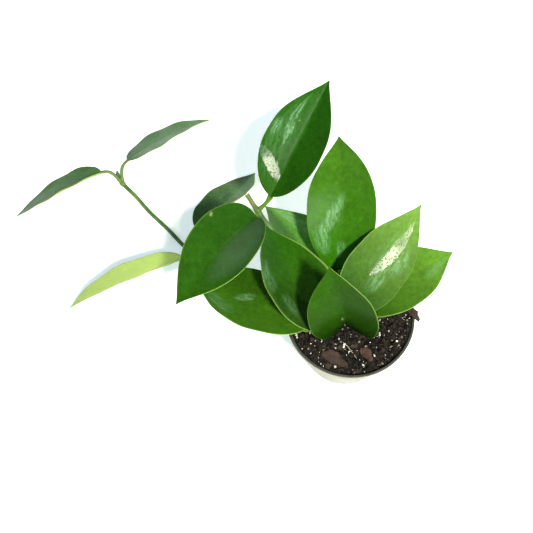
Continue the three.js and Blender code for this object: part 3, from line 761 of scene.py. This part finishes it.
def smooth_line(points, count):
    """Points along a centripetal Catmull-Rom curve: between two points it is the cubic whose direction
    at each point weighs the neighbours by the square root of their distances. The result is spaced
    evenly by length."""
    p = np.array(points, float)
    p = np.vstack([2 * p[0] - p[1], p, 2 * p[-1] - p[-2]])
    knot = np.linalg.norm(np.diff(p, axis=0), axis=1)[:, None] ** 0.5
    before, here, after = knot[:-2], knot[1:-1], knot[2:]
    a, b = p[1:-2], p[2:-1]
    leave = ((a - p[:-3]) / before - (b - p[:-3]) / (before + here) + (b - a) / here) * here
    arrive = ((b - a) / here - (p[3:] - a) / (here + after) + (p[3:] - b) / after) * here
    t = np.linspace(0, 1, STEPS_BETWEEN, endpoint=False)[None, :, None]
    a, b, leave, arrive = (x[:, None] for x in (a, b, leave, arrive))
    line = ((2 * t**3 - 3 * t**2 + 1) * a + (t**3 - 2 * t**2 + t) * leave
            + (3 * t**2 - 2 * t**3) * b + (t**3 - t**2) * arrive)
    line = np.vstack([line.reshape(-1, 3), p[-2]])
    length = np.concatenate([[0], np.cumsum(np.linalg.norm(np.diff(line, axis=0), axis=1))])
    even = np.linspace(0, length[-1], count)
    return np.stack([np.interp(even, length, line[:, k]) for k in range(3)], axis=-1)


def rod_rings(line, radius, points=28):
    """Rings round a line, with one radius for each of its points."""
    direction = unit(np.gradient(line, axis=0))
    side = carried(np.array([1.0, 0, 0]), direction)
    over = np.cross(direction, side)
    angle = around(points)
    circle = side[:, None] * np.cos(angle)[:, None] + over[:, None] * np.sin(angle)[:, None]
    return line[:, None] + circle * radius[:, None, None]


# %% The three stems
LEANING_PATH = [(1, 22, 58), (0, 23, 76), LEANING_FOOT, LEANING_SHOULDER, (-10, 30, 95.5),
                (-24, 43, 97.3), (-40, 59, 101.7), (-48, 68, 105.5), (-54, 76, 110), LEANING_NODE,
                (-65, 95, 119), (-68, 100, 123)]
STUMP_PATH = [(-13, 4, 58), (-13, 3, 78), STUMP_FOOT, STUMP_NODE, (-13, 2, 104)]
RUNNER_PATH = [(-17, -3, 60), (-18, -4, 76), (-20, -4, 88), RUNNER_FOOT, RUNNER_BEND, (-37, 1, 89),
               (-48, 6, 89.7), (-54, 10, 89), (-64, 18, 81), (-84, 42, 52), (-103, 70, 22), (-118, 93, 9),
               (-130, 111, 7), (-140, 124, 4), (-155, 146, 2.4), (-172, 168, 2.4), (-186, 189, 4),
               RUNNER_END, (-201, 209, 12)]
STEMS = [
    dict(name="stem_leaning", path=LEANING_PATH, radius=2.0, rings=150,
         nodes=[LEANING_NODE, LEANING_FOOT]),
    dict(name="stem_stump", path=STUMP_PATH, radius=1.9, rings=60, nodes=[STUMP_NODE]),
    dict(name="stem_runner", path=RUNNER_PATH, radius=2.1, rings=420,
         nodes=[RUNNER_NODE, RUNNER_END, RUNNER_FOOT]),
]
NODE_SWELLING, NODE_LENGTH = 1.0, 2.6
RIPPLE, RIPPLE_PACE = 0.05, 0.21


def stem_rings(stem):
    """Rings round a stem, and their places: share along, closeness to a node, and 1 at the cut end."""
    line = smooth_line(stem["path"], stem["rings"])
    apart = np.linalg.norm(line[:, None] - np.array(stem["nodes"], float)[None], axis=-1).min(axis=1)
    swelling = np.exp(-((apart / NODE_LENGTH) ** 2))
    share = np.linspace(0, 1, len(line))
    ripple = RIPPLE * np.sin(share * stem["rings"] * RIPPLE_PACE)
    rings = rod_rings(line, stem["radius"] + ripple + NODE_SWELLING * swelling)
    end = np.zeros(len(line))
    end[-1] = 1
    places = np.stack([share, swelling, end], axis=-1)[:, None]
    return rings, np.repeat(places, rings.shape[1], axis=1)


# %% The vine's green
STREAK_SCALE, DOT_SCALE = 90, 900
DOT_COLOUR, DOT_STRENGTH = colour(100, 112, 74), 0.25
NODE_COLOUR, NODE_STRENGTH = colour(76, 98, 52), 0.3
OLIVE_COLOUR, OLIVE_FROM = colour(84, 90, 36), (0.86, 0.95)
CUT_COLOUR = colour(214, 196, 156)


def stem_material(name, dark, light, aged=0.0):
    """Young bark: green with paler streaks and dots, greyer at the nodes and pale where cut. Aged is how
    olive it turns towards its far end."""
    material, start = new_material(name)
    along, node, cut = start.own_place()
    streaks = start.noise(STREAK_SCALE, 3)
    dots = start.noise(DOT_SCALE, 2)
    green = streaks.between(0.3, 0.7).tint(dark, light)
    green = (dots.between(0.6, 0.7) * DOT_STRENGTH).tint(green, DOT_COLOUR)
    green = (node * NODE_STRENGTH).tint(green, NODE_COLOUR)
    green = (along.between(*OLIVE_FROM) * aged).tint(green, OLIVE_COLOUR)
    green = cut.between(0.5, 0.9).tint(green, CUT_COLOUR)
    surface(start, Base_Color=green, Roughness=0.42 + (streaks - 0.5) * 0.2, Specular_IOR_Level=0.25,
            Normal=bumps(start, dots * 0.5 + streaks, 0.0002, 0.5))
    return material


vine_green = stem_material("young_vine", colour(58, 90, 36), colour(84, 114, 56))
old_green = stem_material("older_vine", colour(50, 78, 30), colour(72, 98, 44), 0.85)
for stem in STEMS:
    rings, places = stem_rings(stem)
    green = old_green if stem["name"] == "stem_leaning" else vine_green
    dress(skin("vine_" + stem["name"], rings, places), green, "stem", stem["name"])
    print(stem["name"], "has", len(rings), "rings")

# %% [markdown]
# ### The growing tip
# The runner ends in a bud: two small leaves still pressed face to face. A plain ellipsoid would read as a
# bead, so each small leaf is a pointed shell, flat on its inner side, and the two lean a little apart.

# %% The bud
BUD_PLACE = np.array([-201, 210.5, 14.5])
BUD_LEAN = math.radians(-48)
BUD_HALF_LENGTH, BUD_RADIUS = 5.2, 1.9
BUD_RINGS, BUD_POINTS = 30, 24
BUD_WIDEST, BUD_BLUNTNESS = 0.75, 0.8
BUD_OPENING, BUD_HOLLOW = 0.12, 0.06


def bud_leaf(sign):
    """Rings of one small leaf: half an ellipse across, whose size follows a pointed arch along it."""
    share = np.linspace(0.01, 0.99, BUD_RINGS)[:, None]
    angle = around(BUD_POINTS)[None]
    size = np.sin(math.pi * share**BUD_WIDEST) ** BUD_BLUNTNESS
    x = BUD_RADIUS * size * np.cos(angle)
    bulge = np.clip(0.5 + 0.62 * np.sin(angle), BUD_HOLLOW, 2)
    y = sign * BUD_RADIUS * (BUD_OPENING * share + size * bulge)
    z = BUD_HALF_LENGTH * (2 * share - 1)
    return stacked(x, y, z) @ tilted(BUD_LEAN).T + BUD_PLACE


bud_green = stem_material("bud_green", colour(34, 58, 24), colour(54, 84, 40))
for side_name, sign in (("upper", 1), ("lower", -1)):
    shell = bud_leaf(sign)
    dress(skin("growing_tip_" + side_name, shell, np.zeros(shell.shape)), bud_green, "stem")
print("growing tip:", 2 * BUD_HALF_LENGTH, "mm long")

# %% [markdown]
# ## The pot
# The pot is thin moulded plastic with a slightly wider lip and drain holes at the foot. It is a lathe
# shape: a profile of radius and height, whose corners are rounded, carried once round the axis. The
# holes are the one thing that a lathe can't give, so they are cut with a Boolean and the result is kept.

# %% The pot's profile and holes
POT_HEIGHT, POT_BASE_RADIUS, POT_RIM_RADIUS = 87, 36, 51
POT_WALL, POT_FLOOR, POT_EDGE = 1.6, 2.2, 0.7
LIP_HEIGHT, LIP_PROUD, LIP_FLARE = 7, 1.4, 0.15
DRAIN_HOLES, DRAIN_RADIUS, DRAIN_RING, DRAIN_DEPTH, DRAIN_SIDES = 6, 4.5, 33.5, 6, 32
POT_SIDES, AXIS_GAP = 180, 0.5
SHARP_FROM = math.radians(38)


def inner_radius(z):
    """Radius of the pot's inner wall: a cone up to the lip, and one that opens a little within it."""
    neck = POT_HEIGHT - LIP_HEIGHT
    neck_radius = POT_RIM_RADIUS - LIP_PROUD - POT_WALL
    cone = POT_BASE_RADIUS - POT_WALL + (neck_radius - POT_BASE_RADIUS + POT_WALL) * z / neck
    return np.where(z > neck, neck_radius + LIP_FLARE * (z - neck), cone)


def rounded(corners, reach, steps=5):
    """A polyline with each inner corner replaced by a parabola that starts and ends reach away from it,
    or less where the next corner is near."""
    p = np.array(corners, float)
    ahead = np.diff(p, axis=0)
    span = np.linalg.norm(ahead, axis=1)
    cut = np.minimum(reach, 0.45 * np.minimum(span[:-1], span[1:]))[:, None]
    enter = p[1:-1] - cut * ahead[:-1] / span[:-1, None]
    leave = p[1:-1] + cut * ahead[1:] / span[1:, None]
    t = np.linspace(0, 1, steps)[None, :, None]
    arcs = (1 - t) ** 2 * enter[:, None] + 2 * t * (1 - t) * p[1:-1, None] + t**2 * leave[:, None]
    return np.vstack([p[:1], arcs.reshape(-1, 2), p[-1:]])


def turned(profile, sides):
    """Rings of a lathe shape from (radius, height) pairs."""
    angle = around(sides)[None]
    radius, height = profile[:, :1], profile[:, 1:]
    return stacked(radius * np.cos(angle), radius * np.sin(angle), height)


def cut_holes(piece, tools):
    """Subtracts tools from a piece, keeps the result as its mesh and removes the tools."""
    for tool in tools:
        modifier = piece.modifiers.new("hole", "BOOLEAN")
        modifier.object = tool
        modifier.operation = "DIFFERENCE"
    result = bpy.data.meshes.new_from_object(piece.evaluated_get(bpy.context.evaluated_depsgraph_get()))
    piece.modifiers.clear()
    piece.data = result
    for tool in tools:
        bpy.data.objects.remove(tool)


neck = POT_HEIGHT - LIP_HEIGHT
neck_radius = POT_RIM_RADIUS - LIP_PROUD
POT_PROFILE = rounded([
    (AXIS_GAP, 0), (POT_BASE_RADIUS, 0), (neck_radius, neck),
    (POT_RIM_RADIUS - POT_EDGE / 2, neck + POT_EDGE),
    (POT_RIM_RADIUS, POT_HEIGHT), (float(inner_radius(POT_HEIGHT)), POT_HEIGHT),
    (float(inner_radius(neck + 0.01)), neck), (float(inner_radius(POT_FLOOR)), POT_FLOOR),
    (AXIS_GAP, POT_FLOOR),
], POT_EDGE)
nursery_pot = skin("nursery_pot", turned(POT_PROFILE, POT_SIDES))
drills = []
for k in range(DRAIN_HOLES):
    turn = 2 * math.pi * (k + 0.5) / DRAIN_HOLES
    drill = turned(np.array([(DRAIN_RADIUS, -DRAIN_DEPTH), (DRAIN_RADIUS, DRAIN_DEPTH)]), DRAIN_SIDES)
    place = np.array([DRAIN_RING * math.cos(turn), DRAIN_RING * math.sin(turn), 0])
    drills.append(skin("drill", drill + place))
cut_holes(nursery_pot, drills)
nursery_pot.data.set_sharp_from_angle(angle=SHARP_FROM)
print("pot profile has", len(POT_PROFILE), "points; the pot has", len(nursery_pot.data.polygons), "faces")

# %% [markdown]
# ### The pot's plastic
# Thin white plastic lets some light through, so the soil's shadow shows through the lip. The lip is
# painted dark grey for it, as painted shade, and dust and soil leave a dull ring near the top. The bands
# follow the height, so the material reads the object's own Z.

# %% The plastic
CREAM, WORN_CREAM = colour(140, 138, 122), colour(122, 118, 100)
# Painted shade: the dark grey of the lip's top.
LIP_SHADE_DARK, LIP_SHADE_LIGHT = colour(44, 44, 38), colour(68, 68, 60)
DIRT_COLOUR, DIRT_HEIGHT, DIRT_REACH = colour(96, 84, 66), 84, (1.0, 9.0)
LIP_SHADE_BAND = (85.4, 86.3)


def pot_material():
    """Cream plastic by height: a lip in painted shade, a warm wall, and faint scuffs and dust."""
    material, start = new_material("nursery_plastic")
    height = start.node("ShaderNodeSeparateXYZ", None, {"Vector": start.object_place()}, output="Z") / MM
    scuffs = start.noise(60, 4, 0.6)
    dust = start.noise(420, 3, 0.6)
    wall = (scuffs.between(0.35, 0.75) * 0.5).tint(CREAM, WORN_CREAM)
    # Painted shade on the lip, mottled by the scuffs.
    lip = scuffs.between(0.3, 0.7).tint(LIP_SHADE_DARK, LIP_SHADE_LIGHT)
    painted = (height + (scuffs - 0.5) * 0.8).between(*LIP_SHADE_BAND).tint(wall, lip)
    dirt = dust.between(0.6, 0.72) * (1 - abs(height - DIRT_HEIGHT).between(*DIRT_REACH)) * 0.5
    painted = dirt.tint(painted, DIRT_COLOUR)
    surface(start, Base_Color=painted, Roughness=0.5 + (scuffs - 0.5) * 0.25, Specular_IOR_Level=0.12,
            Normal=bumps(start, scuffs + dust * 0.3, 0.0002, 0.35))
    return material


dress(nursery_pot, pot_material(), "pot_plastic", "pot")
print("the lip's grey starts between", LIP_SHADE_BAND[0], "and", LIP_SHADE_BAND[1], "mm")

# %% [markdown]
# ## The soil
# Potting mix is bark crumbs, peat, fibres and white perlite. A flat disc with a noisy picture of soil
# looks flat from the side, so there are three layers of real relief: a bed whose height is a formula, a
# few thousand loose crumbs and grains on it, and larger bark chips. The bed has the lumps of the solid it
# stands for, found with the same small random number rule, plus finer ones.

# %% The height of the bed
SOIL_LEVEL, SOIL_LUMP, SOIL_RIPPLE = 83, 0.7, 0.4
HEAP_HEIGHT, HEAP_X, HEAP_Y, HEAP_HALF_WIDTH, HEAP_HALF_LENGTH = 6, 44, -6, 9, 17
LUMPS, LUMP_RING, LUMP_SEED = 46, 46, 20
LUMP_RADIUS, RADIUS_SPREAD = 2.2, 2.0
LUMP_HEIGHT, HEIGHT_SPREAD = 0.8, 1.4
DRAW_FACTOR, DRAW_STEP, DRAW_END = 1664525, 1013904223, 2**32


def seeded_draws(seed, count):
    """Numbers from 0 to 1: each state is the last one times a factor plus a step, modulo 2^32."""
    draws, state = [], seed
    for _ in range(count):
        state = (state * DRAW_FACTOR + DRAW_STEP) % DRAW_END
        draws.append(state / DRAW_END)
    return np.array(draws)


ring_draw, angle_draw, radius_draw, height_draw = seeded_draws(LUMP_SEED, 4 * LUMPS).reshape(LUMPS, 4).T
lump_x = LUMP_RING * np.sqrt(ring_draw) * np.cos(2 * math.pi * angle_draw)
lump_y = LUMP_RING * np.sqrt(ring_draw) * np.sin(2 * math.pi * angle_draw)
lump_radius = LUMP_RADIUS + RADIUS_SPREAD * radius_draw
lump_height = LUMP_HEIGHT + HEIGHT_SPREAD * height_draw


def bed_height(x, y):
    """Height of the bed: slow lumps and ripples, a heap at the right-hand rim, and round bumps."""
    slow = (SOIL_LUMP * np.sin(0.31 * x + 1.1) * np.cos(0.27 * y - 0.4)
            + SOIL_RIPPLE * np.sin(0.6 * x - 0.5 * y))
    heap_x, heap_y = (x - HEAP_X) / HEAP_HALF_WIDTH, (y - HEAP_Y) / HEAP_HALF_LENGTH
    heap = HEAP_HEIGHT * np.exp(-(heap_x**2) - heap_y**2)
    apart = ((x[..., None] - lump_x) ** 2 + (y[..., None] - lump_y) ** 2) / lump_radius**2
    return SOIL_LEVEL + slow + heap + (lump_height * np.exp(-apart)).max(axis=-1)


heights = bed_height(np.array([0, HEAP_X]), np.array([0, HEAP_Y]))
print("bed at the middle and in the heap:", heights.round(1), "mm")

# %% The bed of soil
SEAT_GAP = 0.3
BED_RINGS, BED_POINTS = 120, 420
BED_GRAINS = ((0.55, 2.4), (0.4, 1.2), (0.22, 0.6))


def crumbly(x, y):
    """The bed's height with grains of three sizes added, each a height and a cell of patchy noise."""
    height = bed_height(x, y)
    for seed, (rough, cell) in enumerate(BED_GRAINS, start=1):
        height = height + rough * patchy(x, y, cell, seed)
    return height


soil_radius = float(inner_radius(SOIL_LEVEL)) - SEAT_GAP
soil_foot = POT_FLOOR + SEAT_GAP
ring_radius = np.linspace(soil_radius, 0.4, BED_RINGS)[:, None]
ring_angle = around(BED_POINTS)[None]
bed_x, bed_y = ring_radius * np.cos(ring_angle), ring_radius * np.sin(ring_angle)
bed = np.stack([bed_x, bed_y, crumbly(bed_x, bed_y)], axis=-1)
side_profile = np.array([(AXIS_GAP, soil_foot), (float(inner_radius(soil_foot)) - SEAT_GAP, soil_foot),
                         (float(inner_radius(neck)) - SEAT_GAP, neck)])
soil_bed = skin("soil_bed", np.vstack([turned(side_profile, BED_POINTS), bed]))
print("soil bed:", len(soil_bed.data.polygons), "faces, top between",
      np.round([bed[..., 2].min(), bed[..., 2].max()], 1), "mm")

# %% [markdown]
# ### Bark chips
# A few larger bark chips lie on the mix. Each is a thin layered plate with a broken outline. An extruded
# outline has flat faces and sharp walls, so the chip is rings again: from the middle of its top, out to
# the outline, round the edge and back to the middle of its underside, with ridges along the grain.

# %% The chips and their outline
CHIPS = [
    dict(name="bark_chip_large", length=23, width=10, depth=3, at=(-17, -33, 83.2), turn=-38, tilt=8),
    dict(name="bark_chip_edge", length=9, width=4.4, depth=2.4, at=(-21.9, -39.2, 82), turn=-38, tilt=-6),
    dict(name="bark_chip_red", length=13, width=8, depth=3, at=(8, -33, 83.2), turn=-62, tilt=12),
    dict(name="bark_chip_rim", length=14, width=6, depth=2.6, at=(49.4, -8, 89.6), turn=-64, tilt=10),
]
CHIP_OUTLINE = np.array([(-0.5, -0.1), (-0.38, -0.42), (-0.08, -0.5), (0.22, -0.34), (0.5, -0.22),
                         (0.44, 0.12), (0.2, 0.24), (0.02, 0.5), (-0.3, 0.38)])
CHIP_POINTS, CHIP_SPARE, CHIP_ROUGHNESS = 120, 0.6, 0.06
TOP_RINGS, UNDER_RINGS = 16, 10
EDGE_INWARD = [0.985, 1.0, 1.0, 0.985]
EDGE_LEVELS = [0.82, 0.4, -0.4, -0.82]
print("chips:", ", ".join(chip["name"] for chip in CHIPS))


# %% Rings round a chip
def chip_rings(chip, seed):
    """Rings from the middle of the top over the edge to the middle of the underside. The outline is a
    polygon walked at an even pace and roughened, and both faces carry ridges along the chip."""
    spread = [chip["length"] + CHIP_SPARE, chip["width"] + CHIP_SPARE]
    closed = np.vstack([CHIP_OUTLINE, CHIP_OUTLINE[:1]]) * spread
    walked = np.concatenate([[0], np.cumsum(np.linalg.norm(np.diff(closed, axis=0), axis=1))])
    even = np.linspace(0, walked[-1], CHIP_POINTS, endpoint=False)
    edge = np.stack([np.interp(even, walked, closed[:, k]) for k in range(2)], axis=-1)
    edge = edge * (1 + CHIP_ROUGHNESS * patchy(even, 0 * even, 1.1, seed))[:, None]
    top, under = np.linspace(0.04, 0.94, TOP_RINGS), np.linspace(0.94, 0.04, UNDER_RINGS)
    inward = np.concatenate([top, EDGE_INWARD, under])
    level = np.concatenate([np.ones(TOP_RINGS), EDGE_LEVELS, -np.ones(UNDER_RINGS)])
    x = inward[:, None] * edge[None, :, 0]
    y = inward[:, None] * edge[None, :, 1]
    ridges = 0.3 * patchy(x / 5, y, 0.9, seed) + 0.25 * patchy(x, y, 2.6, seed + 1)
    z = level[:, None] * (chip["depth"] / 2 + ridges * np.abs(level[:, None]))
    lean, spin = tilted(math.radians(chip["tilt"])), spun(math.radians(chip["turn"]))
    return np.stack([x, y, z], axis=-1) @ lean.T @ spin.T + np.array(chip["at"])


# %% Bark, and the chips made of it
def bark_material(name, dark, light):
    """Weathered bark: dark and light patches with fine grain over them."""
    material, start = new_material(name)
    patches = start.noise(160, 3)
    fine = start.noise(1100, 4, 0.7)
    painted = (patches.between(0.3, 0.7) * 0.7 + (fine - 0.5) * 0.7).tint(dark, light)
    surface(start, Base_Color=painted, Roughness=0.82, Specular_IOR_Level=0.2,
            Normal=bumps(start, fine + patches, 0.0006, 0.8))
    return material


brown_bark = bark_material("brown_bark", colour(34, 26, 21), colour(66, 51, 42))
red_bark = bark_material("red_bark", colour(46, 33, 26), colour(88, 66, 52))
for seed, chip in enumerate(CHIPS):
    piece = skin("rough_" + chip["name"], chip_rings(chip, seed))
    dress(piece, red_bark if chip["name"] == "bark_chip_red" else brown_bark, "bark", chip["name"])
    print(chip["name"], "has", len(piece.data.polygons), "faces")

# %% [markdown]
# ### Crumbs and perlite
# Thousands of grains as separate objects would choke the scene. Each kind is one mesh instead: a rough
# pebble of 20 points, stretched, turned and moved by arrays of random numbers with a fixed seed.

# %% Random places and turns
GRAIN_SEED = 7
rng = np.random.default_rng(GRAIN_SEED)
STEM_FEET = np.array([[0, 23], [-13, 3], [-19, -4], [-5, -5]], float)


def scatter(count, reach, clear=2.6):
    """Places on the bed, even over its area, that keep clear of the stems' feet and of the chips, each
    taken as an ellipse."""
    radius = reach * np.sqrt(rng.random(3 * count))
    turn = 2 * math.pi * rng.random(3 * count)
    xy = np.stack([radius * np.cos(turn), radius * np.sin(turn)], axis=-1)
    free = np.linalg.norm(xy[:, None] - STEM_FEET[None], axis=-1).min(axis=1) > clear
    for chip in CHIPS:
        x, y = (xy - chip["at"][:2]).T
        turned_by = math.radians(chip["turn"])
        lengthwise = (x * math.cos(turned_by) + y * math.sin(turned_by)) / chip["length"]
        sideways = (y * math.cos(turned_by) - x * math.sin(turned_by)) / chip["width"]
        free &= np.hypot(lengthwise, sideways) > 0.5
    return xy[free][:count]


def random_turns(count):
    """Rotation matrices spread evenly over all directions, from random unit quaternions."""
    w, x, y, z = unit(rng.normal(size=(count, 4))).T
    turns = np.stack([1 - 2 * (y * y + z * z), 2 * (x * y - z * w), 2 * (x * z + y * w),
                      2 * (x * y + z * w), 1 - 2 * (x * x + z * z), 2 * (y * z - x * w),
                      2 * (x * z - y * w), 2 * (y * z + x * w), 1 - 2 * (x * x + y * y)], axis=-1)
    return turns.reshape(-1, 3, 3)


# %% A pebble, and a mesh of many
def pebble():
    """Points of a small ball, a pole and three rings of six and a pole, and its faces."""
    rise = np.radians([-50, 0, 50])[:, None]
    turn = 2 * math.pi * (np.arange(6)[None] + np.array([[0], [0.5], [0]])) / 6
    ball = stacked(np.cos(rise) * np.cos(turn), np.cos(rise) * np.sin(turn), np.sin(rise))
    points = np.vstack([ball.reshape(-1, 3), [[0, 0, -1], [0, 0, 1]]])
    number = np.arange(18).reshape(3, 6)
    following = np.roll(number, -1, axis=1)
    lower = [np.stack([number[k], following[k], number[k + 1]], axis=-1) for k in range(2)]
    upper = [np.stack([following[k], following[k + 1], number[k + 1]], axis=-1) for k in range(2)]
    foot = np.stack([np.full(6, 18), following[0], number[0]], axis=-1)
    top = np.stack([np.full(6, 19), number[2], following[2]], axis=-1)
    return points, np.vstack([*lower, *upper, foot, top])


def grains(name, xy, size, stretch, roughness, sink, material):
    """One mesh of many pebbles. Size is their radius in millimetres, stretch three factors for their
    axes, roughness how uneven they are, and sink how deep they sit, as a share of their size."""
    count = len(xy)
    points, faces = pebble()
    shaped = points[None] * (1 + roughness * rng.uniform(-1, 1, (count, len(points), 1)))
    shaped = shaped * np.array(stretch) * rng.uniform(0.75, 1.25, (count, 1, 3)) * size[:, None, None]
    shaped = np.einsum("nij,npj->npi", random_turns(count), shaped)
    height = bed_height(xy[:, 0], xy[:, 1]) + size * (1 - sink)
    center = np.column_stack([xy, height])
    numbers = (faces[None] + len(points) * np.arange(count)[:, None, None]).reshape(-1, 3)
    tones = np.repeat(rng.random((count, 3)), len(points), axis=0)
    made = piece_from(name, (shaped + center[:, None]).reshape(-1, 3), [numbers], tones, smooth=False)
    dress(made, material, "soil")
    print(name, "grains:", count)


print("a pebble has", len(pebble()[0]), "points and", len(pebble()[1]), "faces")

# %% What the soil is made of, as colours
def grain_material(name, dark, light, roughness, spots, skew=1.0):
    """A grain's colour runs from dark to light by its own random tone, with fine spots. With a skew above
    1 most grains are dark."""
    material, start = new_material(name)
    tone, _, _ = start.own_place()
    fine = start.noise(1400, 3, 0.6)
    painted = (tone ** skew * 0.75 + fine * 0.35).tint(dark, light)
    painted = (fine.between(0.56, 0.7) * spots).tint(painted, dark)
    surface(start, Base_Color=painted, Roughness=roughness, Specular_IOR_Level=0.15,
            Normal=bumps(start, fine, 0.0003, 0.7))
    return material


def bed_material():
    """Moist peat: nearly black, browner where it is dry, and wet enough to glisten in places."""
    material, start = new_material("moist_peat")
    damp = start.noise(90, 3)
    fine = start.noise(900, 4, 0.7)
    lightness = damp.between(0.35, 0.65) * 0.6 + (fine - 0.5) * 0.8
    painted = lightness.tint(colour(5, 4, 3), colour(16, 13, 10))
    painted = (fine.between(0.64, 0.7) * 0.4).tint(painted, colour(78, 64, 50))
    surface(start, Base_Color=painted, Roughness=0.62 + (damp - 0.5) * 0.5, Specular_IOR_Level=0.15,
            Normal=bumps(start, fine, 0.0008, 0.9))
    return material


peat = bed_material()
bark_crumb = grain_material("bark_crumb", colour(6, 5, 4), colour(54, 45, 36), 0.7, 0.4, 3.0)
perlite_white = grain_material("perlite_white", colour(150, 148, 136), colour(240, 240, 232), 0.85, 0.3)
tan_grain = grain_material("tan_grain", colour(84, 78, 62), colour(136, 128, 106), 0.8, 0.4)
dress(soil_bed, peat, "soil", "soil")

# Each row: name, count, reach beyond the usual one, smallest and largest size, stretch, roughness, sink.
REACH = soil_radius - 2.2
GRAINS = [
    ("crumbs_fine", 2600, 1.2, (0.4, 0.95), (1.5, 1, 0.7), 0.35, 0.45, bark_crumb),
    ("crumbs_coarse", 620, 0, (0.9, 2.0), (1.6, 1, 0.6), 0.35, 0.5, bark_crumb),
    ("perlite_coarse", 90, 0, (0.5, 1.15), (1.2, 1, 0.8), 0.3, 0.2, perlite_white),
    ("perlite_fine", 300, 1, (0.25, 0.55), (1.1, 1, 0.9), 0.25, 0.1, perlite_white),
    ("sand_grains", 90, 0, (0.5, 1.0), (1.1, 1, 0.9), 0.2, 0.25, tan_grain),
]
for name, count, further, sizes, stretch, roughness, sink, material in GRAINS:
    places = scatter(count, REACH + further)
    grains(name, places, rng.uniform(*sizes, count), stretch, roughness, sink, material)

# %% [markdown]
# ### Fibres and a root
# Peat has fine strands, and one thin pale root lies on the soil in front. Each is a thin rod on a curved
# line that follows the bed's height, so that it lies on the soil from any side.

# %% A mesh of strands
STRAND_SAMPLES, STRAND_SIDES = 14, 5
STRAND_BEND, STRAND_LIFT, STRAND_ARCH = 1.6, 0.9, 0.5


def strands(name, xy, length, radius, material):
    """One mesh of many thin rods: each starts at a place, heads somewhere, bends evenly and stays just
    above the bed. Their rings are joined as one tube each."""
    count = len(xy)
    share = np.linspace(0, 1, STRAND_SAMPLES)[None]
    heading = rng.uniform(0, 2 * math.pi, (count, 1))
    heading = heading + rng.uniform(-STRAND_BEND, STRAND_BEND, (count, 1)) * share
    stride = length[:, None] / STRAND_SAMPLES
    x = xy[:, :1] + np.cumsum(np.cos(heading) * stride, axis=1)
    y = xy[:, 1:] + np.cumsum(np.sin(heading) * stride, axis=1)
    inside = np.minimum(1, REACH / np.hypot(x, y))
    x, y = x * inside, y * inside
    z = bed_height(x, y) + STRAND_LIFT + STRAND_ARCH * np.sin(math.pi * share)
    center = np.stack([x, y, z], axis=-1)
    direction = unit(np.gradient(center, axis=1))
    over = unit(np.cross(direction, np.cross(np.array([0, 0, 1.0]), direction)))
    side = np.cross(over, direction)
    turn = around(STRAND_SIDES)
    ring = (side[:, :, None] * np.cos(turn)[:, None] + over[:, :, None] * np.sin(turn)[:, None]) * radius
    points = (center[:, :, None] + ring).reshape(-1, 3)
    number = np.arange(len(points)).reshape(count, STRAND_SAMPLES, STRAND_SIDES)
    following = np.roll(number, -1, axis=2)
    quads = np.stack([number[:, :-1], following[:, :-1], following[:, 1:], number[:, 1:]], axis=-1)
    ends = [number[:, 0, ::-1], number[:, -1]]
    tones = np.repeat(rng.random((count, 3)), STRAND_SAMPLES * STRAND_SIDES, axis=0)
    made = piece_from(name, points, [quads.reshape(-1, 4), *ends], tones)
    dress(made, material, "soil")
    print(name, "strands:", count)


# %% The fibres and the root
strands("peat_strands", scatter(110, REACH - 6), rng.uniform(4, 13, 110), 0.13, bark_crumb)
pale_root = grain_material("pale_root", colour(176, 168, 142), colour(216, 210, 190), 0.6, 0.2)
ROOT_LINE = [(-9, -22, 85.2), (-6.5, -25, 85.6), (-4, -29.5, 85.4), (-1, -36, 85.6)]
ROOT_RADIUS, ROOT_TAPER, ROOT_LIFT = 0.22, 0.1, 0.4
root_line = smooth_line(ROOT_LINE, 40)
root_floor = bed_height(root_line[:, 0], root_line[:, 1]) + ROOT_LIFT
root_line[:, 2] = np.maximum(root_line[:, 2], root_floor)
root_rings = rod_rings(root_line, ROOT_RADIUS - ROOT_TAPER * np.linspace(0, 1, 40), points=8)
dress(skin("pale_root", root_rings, np.zeros(root_rings.shape)), pale_root, "soil")

# %% [markdown]
# ## The table
# The plant stands on a white table that fills the picture. A plane of a few metres does, a hair below
# zero so that the pot's foot doesn't share its face, with a material that is barely uneven.

# %% The floor
FLOOR_HALF = 3000
FLOOR_DROP = (0, 0, 0.02)


def floor_material():
    """Matt white with a faint glow, as the photo's table is brighter than the lamps alone make it."""
    material, start = new_material("white_table")
    cloud = start.noise(3, 3)
    surface(start, Base_Color=cloud.tint(colour(248, 248, 246), colour(254, 254, 253)), Roughness=0.6,
            Emission_Color=colour(244, 250, 255), Emission_Strength=0.38)
    return material


corners = np.array([(-1, -1, 0), (1, -1, 0), (1, 1, 0), (-1, 1, 0)]) * FLOOR_HALF
table_top = piece_from("table_top", corners - np.array(FLOOR_DROP), [np.array([[0, 1, 2, 3]])])
table_top.data.materials.append(floor_material())
print("table:", 2 * FLOOR_HALF * MM, "m wide")
